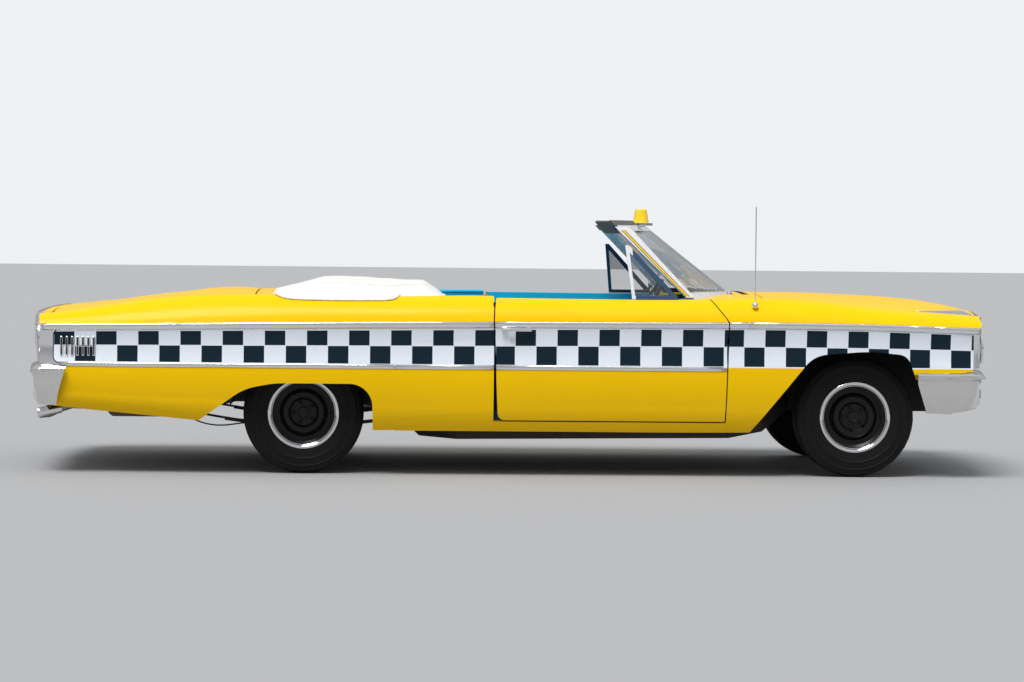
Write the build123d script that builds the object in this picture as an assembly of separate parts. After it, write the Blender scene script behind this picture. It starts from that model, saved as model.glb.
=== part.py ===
from build123d import *
import math
import os

# A full-size two-door convertible used as a taxi cab, its top folded under a boot cover.
# Millimetres. X runs forward, Y to the car's left and Z up. The origin is on the ground,
# under the middle of the car's length.

# Overall sizes
LENGTH = 5331
WHEELBASE = 3022.6
REAR_OVERHANG = 1529.7
FRONT_END = LENGTH / 2
REAR_END = -LENGTH / 2
REAR_AXLE_X = REAR_END + REAR_OVERHANG
FRONT_AXLE_X = REAR_AXLE_X + WHEELBASE
FRONT_TRACK = 1549
REAR_TRACK = 1524

# Gaps and sheets
SHUT_GAP = 7
LID_GAP = 6
SEAT_GAP = 0.3
RUNNING_GAP = 0.05
SHEET = 8

# Wheels and tyres
TYRE_R = 330
TYRE_WIDTH = 205
RIM_R = 178
RIM_WIDTH = 158
FLANGE_R = 193
RIM_SHEET = 6
SPINDLE_R = 24
HUB_R = 58
LUG_CIRCLE = 114.3
LUG_COUNT = 5
LUG_R = 10
VENT_COUNT = 10
VENT_R = 9
VENT_CIRCLE = 119
DRUM_R = 146
DRUM_WIDTH = 58
AXLE_Z = TYRE_R

# Steering
KINGPIN_Y = 676
KINGPIN_R = 15
STEER_ARM = 140
STEER_ARM_Z = 258
STEER_ARM_IN = 34

# Body side. Half-widths (y) and heights (z) of the lines that run along it: lip = inner edge
# beside hood, deck or cabin; crest = top of the shoulder; wide = widest line, under the upper
# moulding; lower = lower moulding; crease = soft line over the sill; bottom = panel's bottom edge.
SIDE_COLUMNS = ("x", "lip_y", "lip_z", "crest_y", "crest_z", "wide_y", "mould_z",
                "lower_y", "crease_y", "crease_z", "bottom_y", "bottom_z")
SIDE_TABLE = [
    (-2640, 762, 842, 838, 849, 940, 809, 938, 928, 460, 890, 384),
    (-2300, 768, 890, 846, 897, 974, 813, 970, 958, 437, 915, 346),
    (-1850, 778, 950, 856, 957, 995, 820, 988, 975, 415, 930, 305),
    (-1350, 796, 970, 872, 976, 1004, 829, 997, 983, 406, 935, 262),
    (-800, 804, 966, 884, 971, 1009, 837, 1001, 987, 396, 936, 244),
    (0, 802, 964, 895, 967, 1012, 845, 1004, 990, 387, 936, 244),
    (1080, 800, 966, 893, 970, 1010, 850, 1002, 988, 388, 936, 245),
    (1450, 776, 973, 872, 979, 1007, 851, 999, 985, 386, 934, 250),
    (1900, 752, 938, 852, 945, 1001, 847, 993, 978, 391, 928, 267),
    (2300, 730, 902, 832, 909, 986, 837, 978, 964, 398, 918, 293),
    (2680, 708, 862, 806, 870, 958, 824, 952, 938, 404, 900, 325),
]
MOULDING_HEIGHT = 36
LOWER_MOULD_TOP = 606
LOWER_MOULD_BOTTOM = 580
LIP_RISE = 3
SHOULDER_BULGE = 22
COVE_DEPTH = 9
LOWER_BULGE = 5
ROCKER_BULGE = 10

# Doors
DOOR_REAR_X = -103
DOOR_FRONT_X = 1171
DOOR_BOTTOM_Z = 306
DOOR_BREAK_Z = 850
DOOR_FRONT_SLOPE = 125
DOOR_REAR_RAKE = 20
DOOR_FRONT_RAKE = 13
DOOR_SKEW = 22
DOOR_CORNER_R = 38
DOOR_BREAK_R = 60
DOOR_INNER_Y = 818
DOOR_SWING = 65
OVER_BELT_Z = 1010
HINGE_AHEAD = 64
HINGE_X = DOOR_FRONT_X + HINGE_AHEAD
HINGE_Y = 965
HINGE_ZS = (455, 745)
HINGE_PIN_R = 8
HINGE_EYE_R = 15
HINGE_EYE_HEIGHT = 34
HINGE_REACH = 60
PILLAR_OUTER_Y = 890

# Wheel arches, as outlines seen from the side
FRONT_ARCH = [(1279, 224), (1640, 672), (1950, 698), (2155, 676), (2320, 230)]
FRONT_ARCH_R = [170, 900, 70]
REAR_ARCH = [(-1835, 196), (-1455, 468), (-1290, 499), (-763, 499), (-756, 190)]
REAR_ARCH_R = [320, 420, 125]
ARCH_LIP = 14

# Hood and trunk lid: centre-line heights
HOOD_REAR_X = 1393
HOOD_TABLE = [(1393, 996), (1710, 996), (2070, 983), (2310, 966), (2490, 939), (2680, 896)]
TRUNK_FRONT_X = -1411
TRUNK_REAR_X = -2524
TRUNK_TABLE = [(-2600, 873), (-2420, 899), (-2200, 922), (-1850, 968), (-1411, 990)]
LID_THICKNESS = 14
LID_HINGE_GAP = 9
HOOD_PIVOT = (1318, 956)
HOOD_HINGE_Y = 560
TRUNK_PIVOT = (-1336, 960)
TRUNK_HINGE_Y = 450
LID_EYE_R = 12
ARM_DROP = 60
ARM_REACH = 132
NOSE_SET_BACK = 28

# Plan curves of the two ends
NOSE_X = 2657
NOSE_SWEEP = 86
TAIL_X = -2588
TAIL_SWEEP = 26
END_HALF_WIDTH = 900

# Windshield: the glass is swept between two level arcs
GLASS_LOW = dict(z=990, front=1266, radius=1104, half_angle=42.8)
GLASS_HIGH = dict(z=1345, front=813, radius=1095, half_angle=32.4)
GLASS_THICKNESS = 6
HEADER_Z = 1372
HEADER_LOW_Z = 1342
BUMPER_TOP_Z = 583
BEACON_X = 767
ANTENNA_X = 1316
BEACON_BASE_R = 68
BEACON_DOME_R = 46
BEACON_TOP_Z = 1467

# Cabin and chassis heights
FLOOR_Z = 300
FLOOR_SHEET = 6
FRAME_BOTTOM_Z = 190
SILL_INNER_Y = 800
FIREWALL_X = 1296
COWL_Z = 998
COWL_SIDE_X = 945
DASH_HALF_WIDTH = 786
TRUNK_FLOOR_Z = 448
WHEELHOUSE_Y = 640
WHEELHOUSE_R = 400
TUNNEL_R = 110
TUNNEL_AXIS = ((-182, 0, 285), (1276, 0, 370))
COLUMN_R = 28


def P(x, y, z):
    return Vector(x, y, z)


def polygon(points):
    """A flat face with straight sides."""
    return Face(Wire.make_polygon([Vector(*p) for p in points], close=True))


def prism_xz(outline, y0, y1):
    """An outline seen from the side, as a solid from y0 to y1."""
    return extrude(polygon([(x, y0, z) for x, z in outline]), amount=y1 - y0, dir=(0, 1, 0))


def prism_xy(outline, z0, z1):
    return extrude(polygon([(x, y, z0) for x, y in outline]), amount=z1 - z0, dir=(0, 0, 1))


def box(x0, x1, y0, y1, z0, z1):
    return Pos((x0 + x1) / 2, (y0 + y1) / 2, (z0 + z1) / 2) * Box(x1 - x0, y1 - y0, z1 - z0)


def rod(a, b, radius, inner=0.0):
    """A straight bar or tube from a to b."""
    a, b = Vector(*a), Vector(*b)
    plane = Plane(origin=a, z_dir=(b - a).normalized())
    length = (b - a).length
    bar = extrude(plane * Circle(radius), amount=length)
    if inner:
        bar -= extrude(plane * Circle(inner), amount=length)
    return bar


def filleted_prism_xz(outline, radii, y0, y1):
    """As prism_xz, with the inner corners of an open outline rounded; its ends are joined straight."""
    path = FilletPolyline(*[P(x, y0, z) for x, z in outline], radius=radii)
    closing = Line(path @ 1, path @ 0)
    return extrude(make_face(path.edges() + closing.edges()), amount=y1 - y0, dir=(0, 1, 0))


def rail(stations, width):
    """A box-section rail through (x, y, low z, high z) stations, each section upright."""
    w = width / 2
    return loft([polygon([(x, y - w, low), (x, y + w, low), (x, y + w, high), (x, y - w, high)])
                 for x, y, low, high in stations], ruled=True)


def sheet_xz(points, thickness, y0, y1):
    """A bent sheet seen from the side: its lower face runs through the points."""
    def normal(a, b):
        length = math.hypot(b[0] - a[0], b[1] - a[1])
        return (-(b[1] - a[1]) / length, (b[0] - a[0]) / length)

    normals = [normal(a, b) for a, b in zip(points, points[1:])]
    upper = []
    for i, (x, z) in enumerate(points):
        n0, n1 = normals[max(i - 1, 0)], normals[min(i, len(normals) - 1)]
        mx, mz = n0[0] + n1[0], n0[1] + n1[1]
        scale = thickness * 2 / (mx * mx + mz * mz)
        upper.append((x + mx * scale, z + mz * scale))
    return prism_xz(points + upper[::-1], y0, y1)


def circle_drop(half_width, rise, y):
    """How far an arc of that half-width and rise lies below its crown at y."""
    radius = (half_width ** 2 + rise ** 2) / (2 * rise)
    return radius - math.sqrt(radius ** 2 - y ** 2)


def mirrored(solid):
    return mirror(solid, about=Plane.XZ)


def both(solid):
    return Compound(children=[*solids_of(solid), *solids_of(mirrored(solid))])


def solids_of(shape):
    return list(shape.solids())


def fused(first, *others):
    result = first
    for other in others:
        result = result + other
    return result


def interpolate(table, x, column=1):
    """A column's value at x, on a smooth curve through a table's rows."""
    xs = [row[0] for row in table]
    ys = [row[column] for row in table]
    i = max(0, min(len(xs) - 2, sum(1 for v in xs if v <= x) - 1))
    span = xs[i + 1] - xs[i]

    def slope(j):
        lo, hi = max(j - 1, 0), min(j + 1, len(xs) - 1)
        return (ys[hi] - ys[lo]) / (xs[hi] - xs[lo]) * span

    t = (x - xs[i]) / span
    rise = ys[i + 1] - ys[i]
    a, b = slope(i), slope(i + 1)
    return ys[i] + t * a + t * t * (3 * rise - 2 * a - b) + t ** 3 * (a + b - 2 * rise)


def side(column, x):
    return interpolate(SIDE_TABLE, x, SIDE_COLUMNS.index(column))


def bulged(a, b, bulge):
    """An arc from a to b in a plane of constant x, standing out to the left and up by bulge."""
    along = (b - a).normalized()
    outward = Vector(0, -along.Z, along.Y)
    return ThreePointArc(a, (a + b) * 0.5 + outward * bulge, b)


def outer_profile(x, inset=0.0):
    """The edges of the body side at x, from lip to bottom, moved inwards by inset."""
    v = {c: side(c, x) for c in SIDE_COLUMNS[1:]}
    lip = P(x, v["lip_y"], v["lip_z"] - inset)
    crest = P(x, v["crest_y"] - 0.3 * inset, v["crest_z"] - inset)
    wide = P(x, v["wide_y"] - inset, v["mould_z"] - 0.3 * inset)
    under = P(x, v["wide_y"] - inset - 2, v["mould_z"] - MOULDING_HEIGHT)
    lower = P(x, v["lower_y"] - inset, LOWER_MOULD_TOP)
    lower_end = P(x, v["lower_y"] - inset, LOWER_MOULD_BOTTOM)
    crease = P(x, v["crease_y"] - inset, v["crease_z"])
    bottom = P(x, v["bottom_y"] - inset, v["bottom_z"])
    edges = [
        bulged(lip, crest, LIP_RISE),
        bulged(crest, wide, SHOULDER_BULGE),
        Line(wide, under),
        bulged(under, lower, -COVE_DEPTH),
        Line(lower, lower_end),
        bulged(lower_end, crease, LOWER_BULGE),
        bulged(crease, bottom, ROCKER_BULGE),
    ]
    return edges, lip, bottom


def side_section(x, thickness=None, inner_y=None):
    """A closed section of the side at x: a sheet, or solid as far in as inner_y."""
    outer, lip, bottom = outer_profile(x)
    if thickness is not None:
        inner, inner_lip, inner_bottom = outer_profile(x, thickness)
        edges = outer + [Line(bottom, inner_bottom)] + inner[::-1] + [Line(inner_lip, lip)]
    else:
        low, high = P(x, inner_y, bottom.Z), P(x, inner_y, lip.Z + 0.5)
        edges = outer + [Line(bottom, low), Line(low, high), Line(high, lip)]
    return make_face(Wire(edges))


def side_solid(x0, x1, **form):
    """The body side between x0 and x1."""
    inner = [row[0] for row in SIDE_TABLE if x0 + 60 < row[0] < x1 - 60]
    return loft([side_section(x, **form) for x in [x0] + inner + [x1]])


def door_outline(grow, skew):
    """The door seen from the side, larger all round by grow and shorter at the rear by skew."""
    rear = DOOR_REAR_X - grow + skew
    front = DOOR_FRONT_X + grow
    top = OVER_BELT_Z + grow
    low = DOOR_BOTTOM_Z - grow
    over = top - DOOR_BREAK_Z
    return [(rear, top), (rear + 2, DOOR_BREAK_Z), (rear + DOOR_REAR_RAKE, low),
            (front - DOOR_FRONT_RAKE, low), (front, DOOR_BREAK_Z),
            (front - DOOR_FRONT_SLOPE * over / (OVER_BELT_Z - DOOR_BREAK_Z), top)]


def door_region(grow):
    """The space of a door and its shut gap, wider outside than in, so that it swings out clear."""
    faces = []
    for y, skew in ((1060, -DOOR_SKEW * 0.25), (DOOR_INNER_Y - grow, DOOR_SKEW)):
        radii = [500, DOOR_CORNER_R + grow, 8 + grow, DOOR_BREAK_R]
        path = FilletPolyline(*[P(x, y, z) for x, z in door_outline(grow, skew)], radius=radii)
        faces.append(make_face(path.edges() + Line(path @ 1, path @ 0).edges()))
    return loft(faces, ruled=True)


def end_arc(centre_x, sweep, shift):
    """Plan arc of an end of the car, moved along the car by shift."""
    w = END_HALF_WIDTH + 200
    drop = sweep * (w / END_HALF_WIDTH) ** 2
    toward = -1 if centre_x > 0 else 1
    return P(centre_x + shift + toward * drop, -w, 0), P(centre_x + shift, 0, 0), \
        P(centre_x + shift + toward * drop, w, 0)


def end_region(centre_x, sweep, shift, z0=0, z1=1300):
    """Everything behind the nose curve, or ahead of the tail curve."""
    a, m, b = end_arc(centre_x, sweep, shift)
    up = Vector(0, 0, z0)
    arc = ThreePointArc(a + up, m + up, b + up)
    back_a, back_b = P(0, a.Y, z0), P(0, b.Y, z0)
    face = make_face([arc, Line(b + up, back_b), Line(back_b, back_a), Line(back_a, a + up)])
    return extrude(face, amount=z1 - z0, dir=(0, 0, 1))


def crown_section(x, half_width, side_z, centre_z, thickness, out_to=None):
    """A crowned sheet's section at x, from side to side, or on along its arc to out_to."""
    if out_to is not None:
        side_z = centre_z - circle_drop(half_width, centre_z - side_z, out_to)
        half_width = out_to
    top = ThreePointArc(P(x, -half_width, side_z), P(x, 0, centre_z), P(x, half_width, side_z))
    low = ThreePointArc(P(x, -half_width, side_z - thickness), P(x, 0, centre_z - thickness),
                        P(x, half_width, side_z - thickness))
    return make_face([top, Line(top @ 1, low @ 1), low, Line(low @ 0, top @ 0)])


def crowned(centre, xs, thickness, inset, out_to=None, lift=0.0):
    """A crowned panel between the two lips of the body, inset from them; centre gives its height at x."""
    return loft([crown_section(x, side("lip_y", x) - inset, side("lip_z", x) - 1 + lift,
                               centre(x) + lift, thickness, out_to) for x in xs])


def glass_arc(level, offset, z=None, more=0.0):
    """One level arc of the windshield, moved outwards by offset and longer by an angle at each end."""
    t = (level["z"] if z is None else z)
    r = level["radius"] + offset
    cx = level["front"] - level["radius"]
    a = math.radians(level["half_angle"] + more)
    ends = [P(cx + r * math.cos(s * a), r * math.sin(s * a), t) for s in (-1, 1)]
    return ThreePointArc(ends[0], P(cx + r, 0, t), ends[1])


def glass_level(z):
    """The windshield's arc at any height, on straight lines from the low arc to the high one."""
    t = (z - GLASS_LOW["z"]) / (GLASS_HIGH["z"] - GLASS_LOW["z"])
    return {k: GLASS_LOW[k] + t * (GLASS_HIGH[k] - GLASS_LOW[k]) for k in GLASS_LOW}


def glass_band(z0, z1, inner, outer, more=0.0):
    """A band of the windshield's surface between two heights, from offset inner to outer."""
    faces = []
    for z in (z0, z1):
        level = glass_level(z)
        a, b = glass_arc(level, inner, more=more), glass_arc(level, outer, more=more)
        faces.append(make_face([a, b, Line(a @ 0, b @ 0), Line(a @ 1, b @ 1)]))
    return loft(faces, ruled=True)


# Panels of the body side ---------------------------------------------------------------

def front_arch(grow=0.0):
    return filleted_prism_xz([(x, z + grow) for x, z in FRONT_ARCH], FRONT_ARCH_R, 560, 1060)


def rear_arch(grow=0.0):
    return filleted_prism_xz([(x, z + grow) for x, z in REAR_ARCH], REAR_ARCH_R, 560, 1060)


def nose_band(shift, z0, z1):
    """What lies ahead of the nose curve, moved by shift, between two heights."""
    return box(2000, 2800, -1100, 1100, z0, z1) - end_region(NOSE_X, NOSE_SWEEP, shift, z0 - 1, z1 + 1)


def tail_band(shift, z0, z1):
    return box(-2800, -2000, -1100, 1100, z0, z1) - end_region(TAIL_X, TAIL_SWEEP, shift, z0 - 1, z1 + 1)


def front_fender():
    skin = side_solid(1000, 2680, thickness=SHEET)
    skin -= door_region(SHUT_GAP)
    skin -= box(900, 1164, 700, 1060, 200, DOOR_BREAK_Z - 60)
    skin -= front_arch()
    skin &= end_region(NOSE_X, NOSE_SWEEP, 0)
    skin -= nose_band(-45, 300, BUMPER_TOP_Z + 5)
    pillar = box(DOOR_FRONT_X + SHUT_GAP + 5, FIREWALL_X - 2, SILL_INNER_Y + 12, PILLAR_OUTER_Y, 262, 930)
    pillar -= door_region(SHUT_GAP)
    inner_x = DOOR_FRONT_X + SHUT_GAP + 40
    web = box(FIREWALL_X - 12, FIREWALL_X - 2, PILLAR_OUTER_Y - 1, 1040, 252, 940)
    web &= side_solid(1200, 1400, inner_y=700)
    panel = fused(skin, pillar, web)
    for z in HINGE_ZS:
        for dz in (-1, 1):
            near = z + dz * (HINGE_EYE_HEIGHT / 2 + SEAT_GAP)
            far = near + dz * 10
            low, high = min(near, far), max(near, far)
            ear = box(HINGE_X - 14, FIREWALL_X - 10, PILLAR_OUTER_Y - 1, HINGE_Y + 14, low, high)
            panel += ear
        panel += rod((HINGE_X, HINGE_Y, z - HINGE_EYE_HEIGHT / 2 - 10),
                     (HINGE_X, HINGE_Y, z + HINGE_EYE_HEIGHT / 2 + 10), HINGE_PIN_R)
    return panel


def rocker():
    solid = side_solid(-300, 1350, inner_y=SILL_INNER_Y)
    low = box(-104 + SEAT_GAP, 1164 - SEAT_GAP, 700, 1060, 200, DOOR_BOTTOM_Z - SHUT_GAP)
    return solid & low


QUARTER_XS = (-2640, -2300, -1850, -1350, -800, 60)


def quarter_panel():
    skin = side_solid(QUARTER_XS[0], QUARTER_XS[-1], thickness=SHEET)
    skin -= rear_arch()
    skin &= end_region(TAIL_X, TAIL_SWEEP, 0)
    skin -= tail_band(45, 300, BUMPER_TOP_Z + 12)
    wall = side_solid(-800, 60, inner_y=DOOR_INNER_Y - 18) & box(-640, 60, 600, 1100, 200, 1100)
    panel = skin + wall
    panel -= door_region(SHUT_GAP)
    panel -= box(-104, 200, 600, 1060, 200, 1100)
    panel -= box(*BOOT_REBATE)
    return panel


BOOT_REBATE = (-1309, -583, 700, 866, 934, 1010)


def hinge_clearance():
    """The space that the fender's rear edge sweeps about the hinge line as a door opens."""
    v = {c: side(c, DOOR_FRONT_X) for c in SIDE_COLUMNS[1:]}
    stations = [(v["bottom_z"], v["bottom_y"]), (v["crease_z"], v["crease_y"]), (LOWER_MOULD_BOTTOM, v["lower_y"]),
                (v["mould_z"] - MOULDING_HEIGHT, v["wide_y"] - 2), (v["mould_z"], v["wide_y"])]
    profile = []
    for z, y in stations:
        rake = DOOR_FRONT_RAKE * (DOOR_BREAK_Z - z) / (DOOR_BREAK_Z - DOOR_BOTTOM_Z)
        reach = math.hypot(HINGE_AHEAD - SHUT_GAP + rake, max(y - HINGE_Y, 0))
        profile.append((reach + 5.2, z))
    crest, wide = (v["crest_y"], v["crest_z"]), (v["wide_y"], v["mould_z"])
    for share in (0.25, 0.5, 0.75, 1.2):
        z = wide[1] + share * (crest[1] - wide[1])
        y = wide[0] + share * (crest[0] - wide[0]) + 4 * share * (1 - share) * SHOULDER_BULGE
        slope = DOOR_FRONT_SLOPE * (z - DOOR_BREAK_Z) / (OVER_BELT_Z - DOOR_BREAK_Z)
        profile.append((math.hypot(HINGE_AHEAD - SHUT_GAP + slope, max(y - HINGE_Y, 0)) + 5.2, z))
    profile = [(0, profile[0][1])] + profile + [(0, profile[-1][1])]
    return Pos(HINGE_X, HINGE_Y, 0) * revolve_profile(profile)


def door(sign):
    slab = side_solid(-150, 1230, inner_y=DOOR_INNER_Y) & door_region(0)
    slab -= hinge_clearance()
    for z in HINGE_ZS:
        h = HINGE_EYE_HEIGHT / 2
        inner = HINGE_Y - HINGE_REACH
        arm = prism_xy([(DOOR_FRONT_X - 30, inner - 6), (HINGE_X + 6, inner - 6), (HINGE_X + 6, HINGE_Y),
                        (HINGE_X - 6, HINGE_Y), (HINGE_X - 6, inner + 6), (DOOR_FRONT_X - 30, inner + 6)],
                       z - h, z + h)
        eye = rod((HINGE_X, HINGE_Y, z - h), (HINGE_X, HINGE_Y, z + h), HINGE_EYE_R)
        slab = slab + arm + eye
        slab -= rod((HINGE_X, HINGE_Y, z - h - 1), (HINGE_X, HINGE_Y, z + h + 1), HINGE_PIN_R + RUNNING_GAP)
    return slab if sign > 0 else mirrored(slab)


def door_handle(sign):
    x0, x1, z = DOOR_REAR_X + 12, DOOR_REAR_X + 200, 800
    skin_y = side("wide_y", x0) - 2 + SEAT_GAP
    bar = box(x0 + 24, x1, skin_y + 12, skin_y + 21, z - 9, z + 9)
    bar = fillet(bar.edges().filter_by(Axis.X), 4)
    post_a = box(x0 + 30, x0 + 56, skin_y, skin_y + 13, z - 8, z + 8)
    post_b = box(x1 - 26, x1 - 2, skin_y, skin_y + 13, z - 8, z + 8)
    return fused(bar, post_a, post_b)


VENT_PLANE = dict(low_z=972, low_y=885, high_z=1282, high_y=763)
VENT_FRAME = [(909, 966), (898, 986), (640, 1262), (619, 1262), (652, 966)]
VENT_GLASS = [(862, 988), (642, 1224), (668, 988)]


def lean(outline, thickness, out=0.0):
    """An outline seen from the side, laid in the vent window's leaning plane."""
    v = VENT_PLANE
    slope = (v["high_y"] - v["low_y"]) / (v["high_z"] - v["low_z"])

    def face(off):
        return polygon([(x, v["low_y"] + slope * (z - v["low_z"]) + off, z) for x, z in outline])

    return loft([face(out - thickness / 2), face(out + thickness / 2)], ruled=True)


def vent_frame():
    frame = lean(VENT_FRAME, 18) - lean(VENT_GLASS, 30)
    return frame & box(500, 1000, 600, 1000, 968.1, 1300)


def vent_glass():
    return lean([(860.4, 988.6), (643.2, 1221.6), (668.6, 988.6)], 5)


def door_mirror():
    x, z = 905, 1017
    skin_z = side("crest_z", x) + SEAT_GAP
    stem = rod((x + 26, 888, skin_z), (x + 4, 938, z - 20), 7)
    foot = box(x + 4, x + 50, 874, 900, skin_z, skin_z + 7)
    head = Pos(x, 950, z) * Rot(0, 90, 0) * Cylinder(52, 26)
    return fused(head, stem, foot) & box(500, 1200, 700, 1015, skin_z, 1200)


# Hood, cowl, deck and trunk --------------------------------------------------------------

def hood():
    xs = [1340, 1450, 1675, 1900, 2100, 2300, 2490, 2680]
    panel = crowned(lambda x: interpolate(HOOD_TABLE, x), xs, LID_THICKNESS, LID_GAP + 3)
    panel &= end_region(NOSE_X, NOSE_SWEEP, -NOSE_SET_BACK)
    panel &= box(HOOD_REAR_X, 2800, -900, 900, 600, 1200)
    return panel + lid_arms(HOOD_PIVOT, HOOD_HINGE_Y, 1, 972) \
        - lid_bores(HOOD_PIVOT, HOOD_HINGE_Y)


def lid_arms(pivot, at_y, ahead, top):
    """Goosenecks that carry a lid round the edge of the panel beside it."""
    px, pz = pivot
    arms = None
    for s in (-1, 1):
        y = s * at_y
        path = [(-9, -ARM_DROP - 9), (ARM_REACH, -ARM_DROP - 9), (ARM_REACH, top - pz), (ARM_REACH - 18, top - pz),
                (ARM_REACH - 18, -ARM_DROP + 9), (9, -ARM_DROP + 9), (9, 0), (-9, 0)]
        arm = prism_xz([(px + ahead * x, pz + z) for x, z in path], y - 6, y + 6)
        arm += rod((px, y - 6, pz), (px, y + 6, pz), LID_EYE_R)
        arms = arm if arms is None else arms + arm
    return arms


def lid_bores(pivot, at_y):
    px, pz = pivot
    return fused(*[rod((px, s * at_y - 8, pz), (px, s * at_y + 8, pz), HINGE_PIN_R - 2 + RUNNING_GAP)
                   for s in (-1, 1)])


def lid_brackets(pivot, at_y, wall_x, top):
    """Ears and pins that a lid's arms turn on, standing out from a wall."""
    px, pz = pivot
    ahead = 1 if wall_x < px else -1
    out = None
    for s in (-1, 1):
        y = s * at_y
        for side_y in (y - 14, y + 6 + SEAT_GAP):
            low, high = sorted((wall_x - ahead, px + ahead * 10))
            ear = box(low, high, side_y, side_y + 8 - SEAT_GAP, pz - 12, top)
            out = ear if out is None else out + ear
        out += rod((px, y - 10, pz), (px, y + 10, pz), HINGE_PIN_R - 2)
    return out


def cowl_crown(thickness, lift=0.0, out_to=None):
    """The cowl's crowned top between fenders, as a sheet."""
    xs = [930, 1000, 1100, 1200, 1300, HOOD_REAR_X - LID_HINGE_GAP]
    return crowned(lambda x: COWL_Z, xs, thickness, 1, out_to=out_to, lift=lift)


def cowl():
    top = cowl_crown(12) & box(COWL_SIDE_X, HOOD_REAR_X, -900, 900, 800, 1100)
    a = glass_arc(glass_level(985), -60, 900)
    scoop = make_face([a, Line(a @ 1, P(600, (a @ 1).Y, 900)), Line(P(600, (a @ 1).Y, 900), P(600, (a @ 0).Y, 900)),
                       Line(P(600, (a @ 0).Y, 900), a @ 0)])
    top -= extrude(scoop, amount=200, dir=(0, 0, 1))
    firewall = box(FIREWALL_X, FIREWALL_X + 8, -690, 690, FLOOR_Z + 90, COWL_Z - 8)
    firewall &= cowl_crown(900)
    firewall -= tunnel_rod(TUNNEL_R + 1)
    firewall -= rod(tuple(COLUMN_FOOT - column_axis() * 60), tuple(COLUMN_FOOT + column_axis() * 90),
                    COLUMN_R + SEAT_GAP)
    panel = top + firewall
    cheek = box(COWL_SIDE_X, FIREWALL_X + 8, DASH_HALF_WIDTH + 1, DOOR_INNER_Y - SHUT_GAP, 850, 956)
    closing = box(FIREWALL_X, FIREWALL_X + 8, 680, DOOR_INNER_Y - SHUT_GAP, FLOOR_Z + 90, 956)
    panel = fused(panel, cheek, closing, mirrored(cheek), mirrored(closing))
    return panel + lid_brackets(HOOD_PIVOT, HOOD_HINGE_Y, FIREWALL_X + 8, 972)


def rear_deck():
    """The narrow panel between trunk lid and folded top, with the trough that the hinges sit in."""
    x0, x1 = TRUNK_FRONT_X + LID_HINGE_GAP, BOOT_REBATE[0]
    top = crowned(lambda x: TRUNK_TABLE[-1][1], [x0, x1], 10, 1)
    apron = box(x1 - 8, x1, -WHEELHOUSE_Y, WHEELHOUSE_Y, 600 + FLOOR_SHEET + SEAT_GAP, 984)
    apron += box(x1 - 8, x1, -760, 760, 740, 960)
    panel = top + apron
    return panel + lid_brackets(TRUNK_PIVOT, TRUNK_HINGE_Y, x1 - 8, 978)


def trunk_lid():
    xs = [-2560, -2420, -2200, -1850, TRUNK_FRONT_X]
    panel = crowned(lambda x: interpolate(TRUNK_TABLE, x), xs, LID_THICKNESS, LID_GAP)
    panel &= end_region(TAIL_X, TAIL_SWEEP, 64)
    return panel + lid_arms(TRUNK_PIVOT, TRUNK_HINGE_Y, -1, 976) - lid_bores(TRUNK_PIVOT, TRUNK_HINGE_Y)


def tail_panel():
    low, high = TRUNK_FLOOR_Z - 8, 900
    wall = end_region(TAIL_X, TAIL_SWEEP, TAIL_WALL_SET, low, high) \
        - end_region(TAIL_X, TAIL_SWEEP, TAIL_WALL_SET + 12, low - 5, high + 5)
    xs = [-2640, TRUNK_REAR_X]
    lid_line = crowned(lambda x: interpolate(TRUNK_TABLE, x), xs, 600, 1)
    sides = side_interior(QUARTER_XS, 300)
    wall = wall & (lid_line + (sides + mirrored(sides)))
    cap = crowned(lambda x: interpolate(TRUNK_TABLE, x), xs, 12, 1)
    cap &= end_region(TAIL_X, TAIL_SWEEP, 6) - end_region(TAIL_X, TAIL_SWEEP, 64 - LID_GAP)
    ledge = box(-2575, -2500, -700, 700, 812, 820) & end_region(TAIL_X, TAIL_SWEEP, TAIL_WALL_SET + 2)
    panel = fused(wall, cap, ledge)
    for s in (-1, 1):
        panel -= rod((-2700, s * TAIL_LAMP_Y, TAIL_LAMP_Z), (-2400, s * TAIL_LAMP_Y, TAIL_LAMP_Z),
                     TAIL_BARREL_R + SEAT_GAP)
    return panel


TAIL_WALL_SET = 18
TAIL_BARREL_R = 86
TAIL_LAMP_Y = 720
TAIL_LAMP_Z = 722
TAIL_LAMP_R = 98


def tail_lamps():
    lamp = Rot(0, -90, 0) * revolve_profile([(0, 40), (60, 34), (78, 20), (80, 8), (TAIL_LAMP_R, 0),
                                             (TAIL_LAMP_R, -3), (TAIL_BARREL_R, -3), (TAIL_BARREL_R, -34), (0, -34)])
    inner = (TAIL_LAMP_Y - TAIL_LAMP_R) / END_HALF_WIDTH
    x = TAIL_X + TAIL_WALL_SET + TAIL_SWEEP * inner ** 2 - SEAT_GAP - 3
    return [Pos(x, s * TAIL_LAMP_Y, TAIL_LAMP_Z) * lamp for s in (1, -1)]


def revolve_profile(points):
    """Revolves (radius, height) points about Z."""
    return revolve(polygon([(r, 0, h) for r, h in points]), Axis.Z)


# Front end -------------------------------------------------------------------------------

LAMP_YS = (610, 780)
LAMP_Z = 712
LAMP_R = 73


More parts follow.
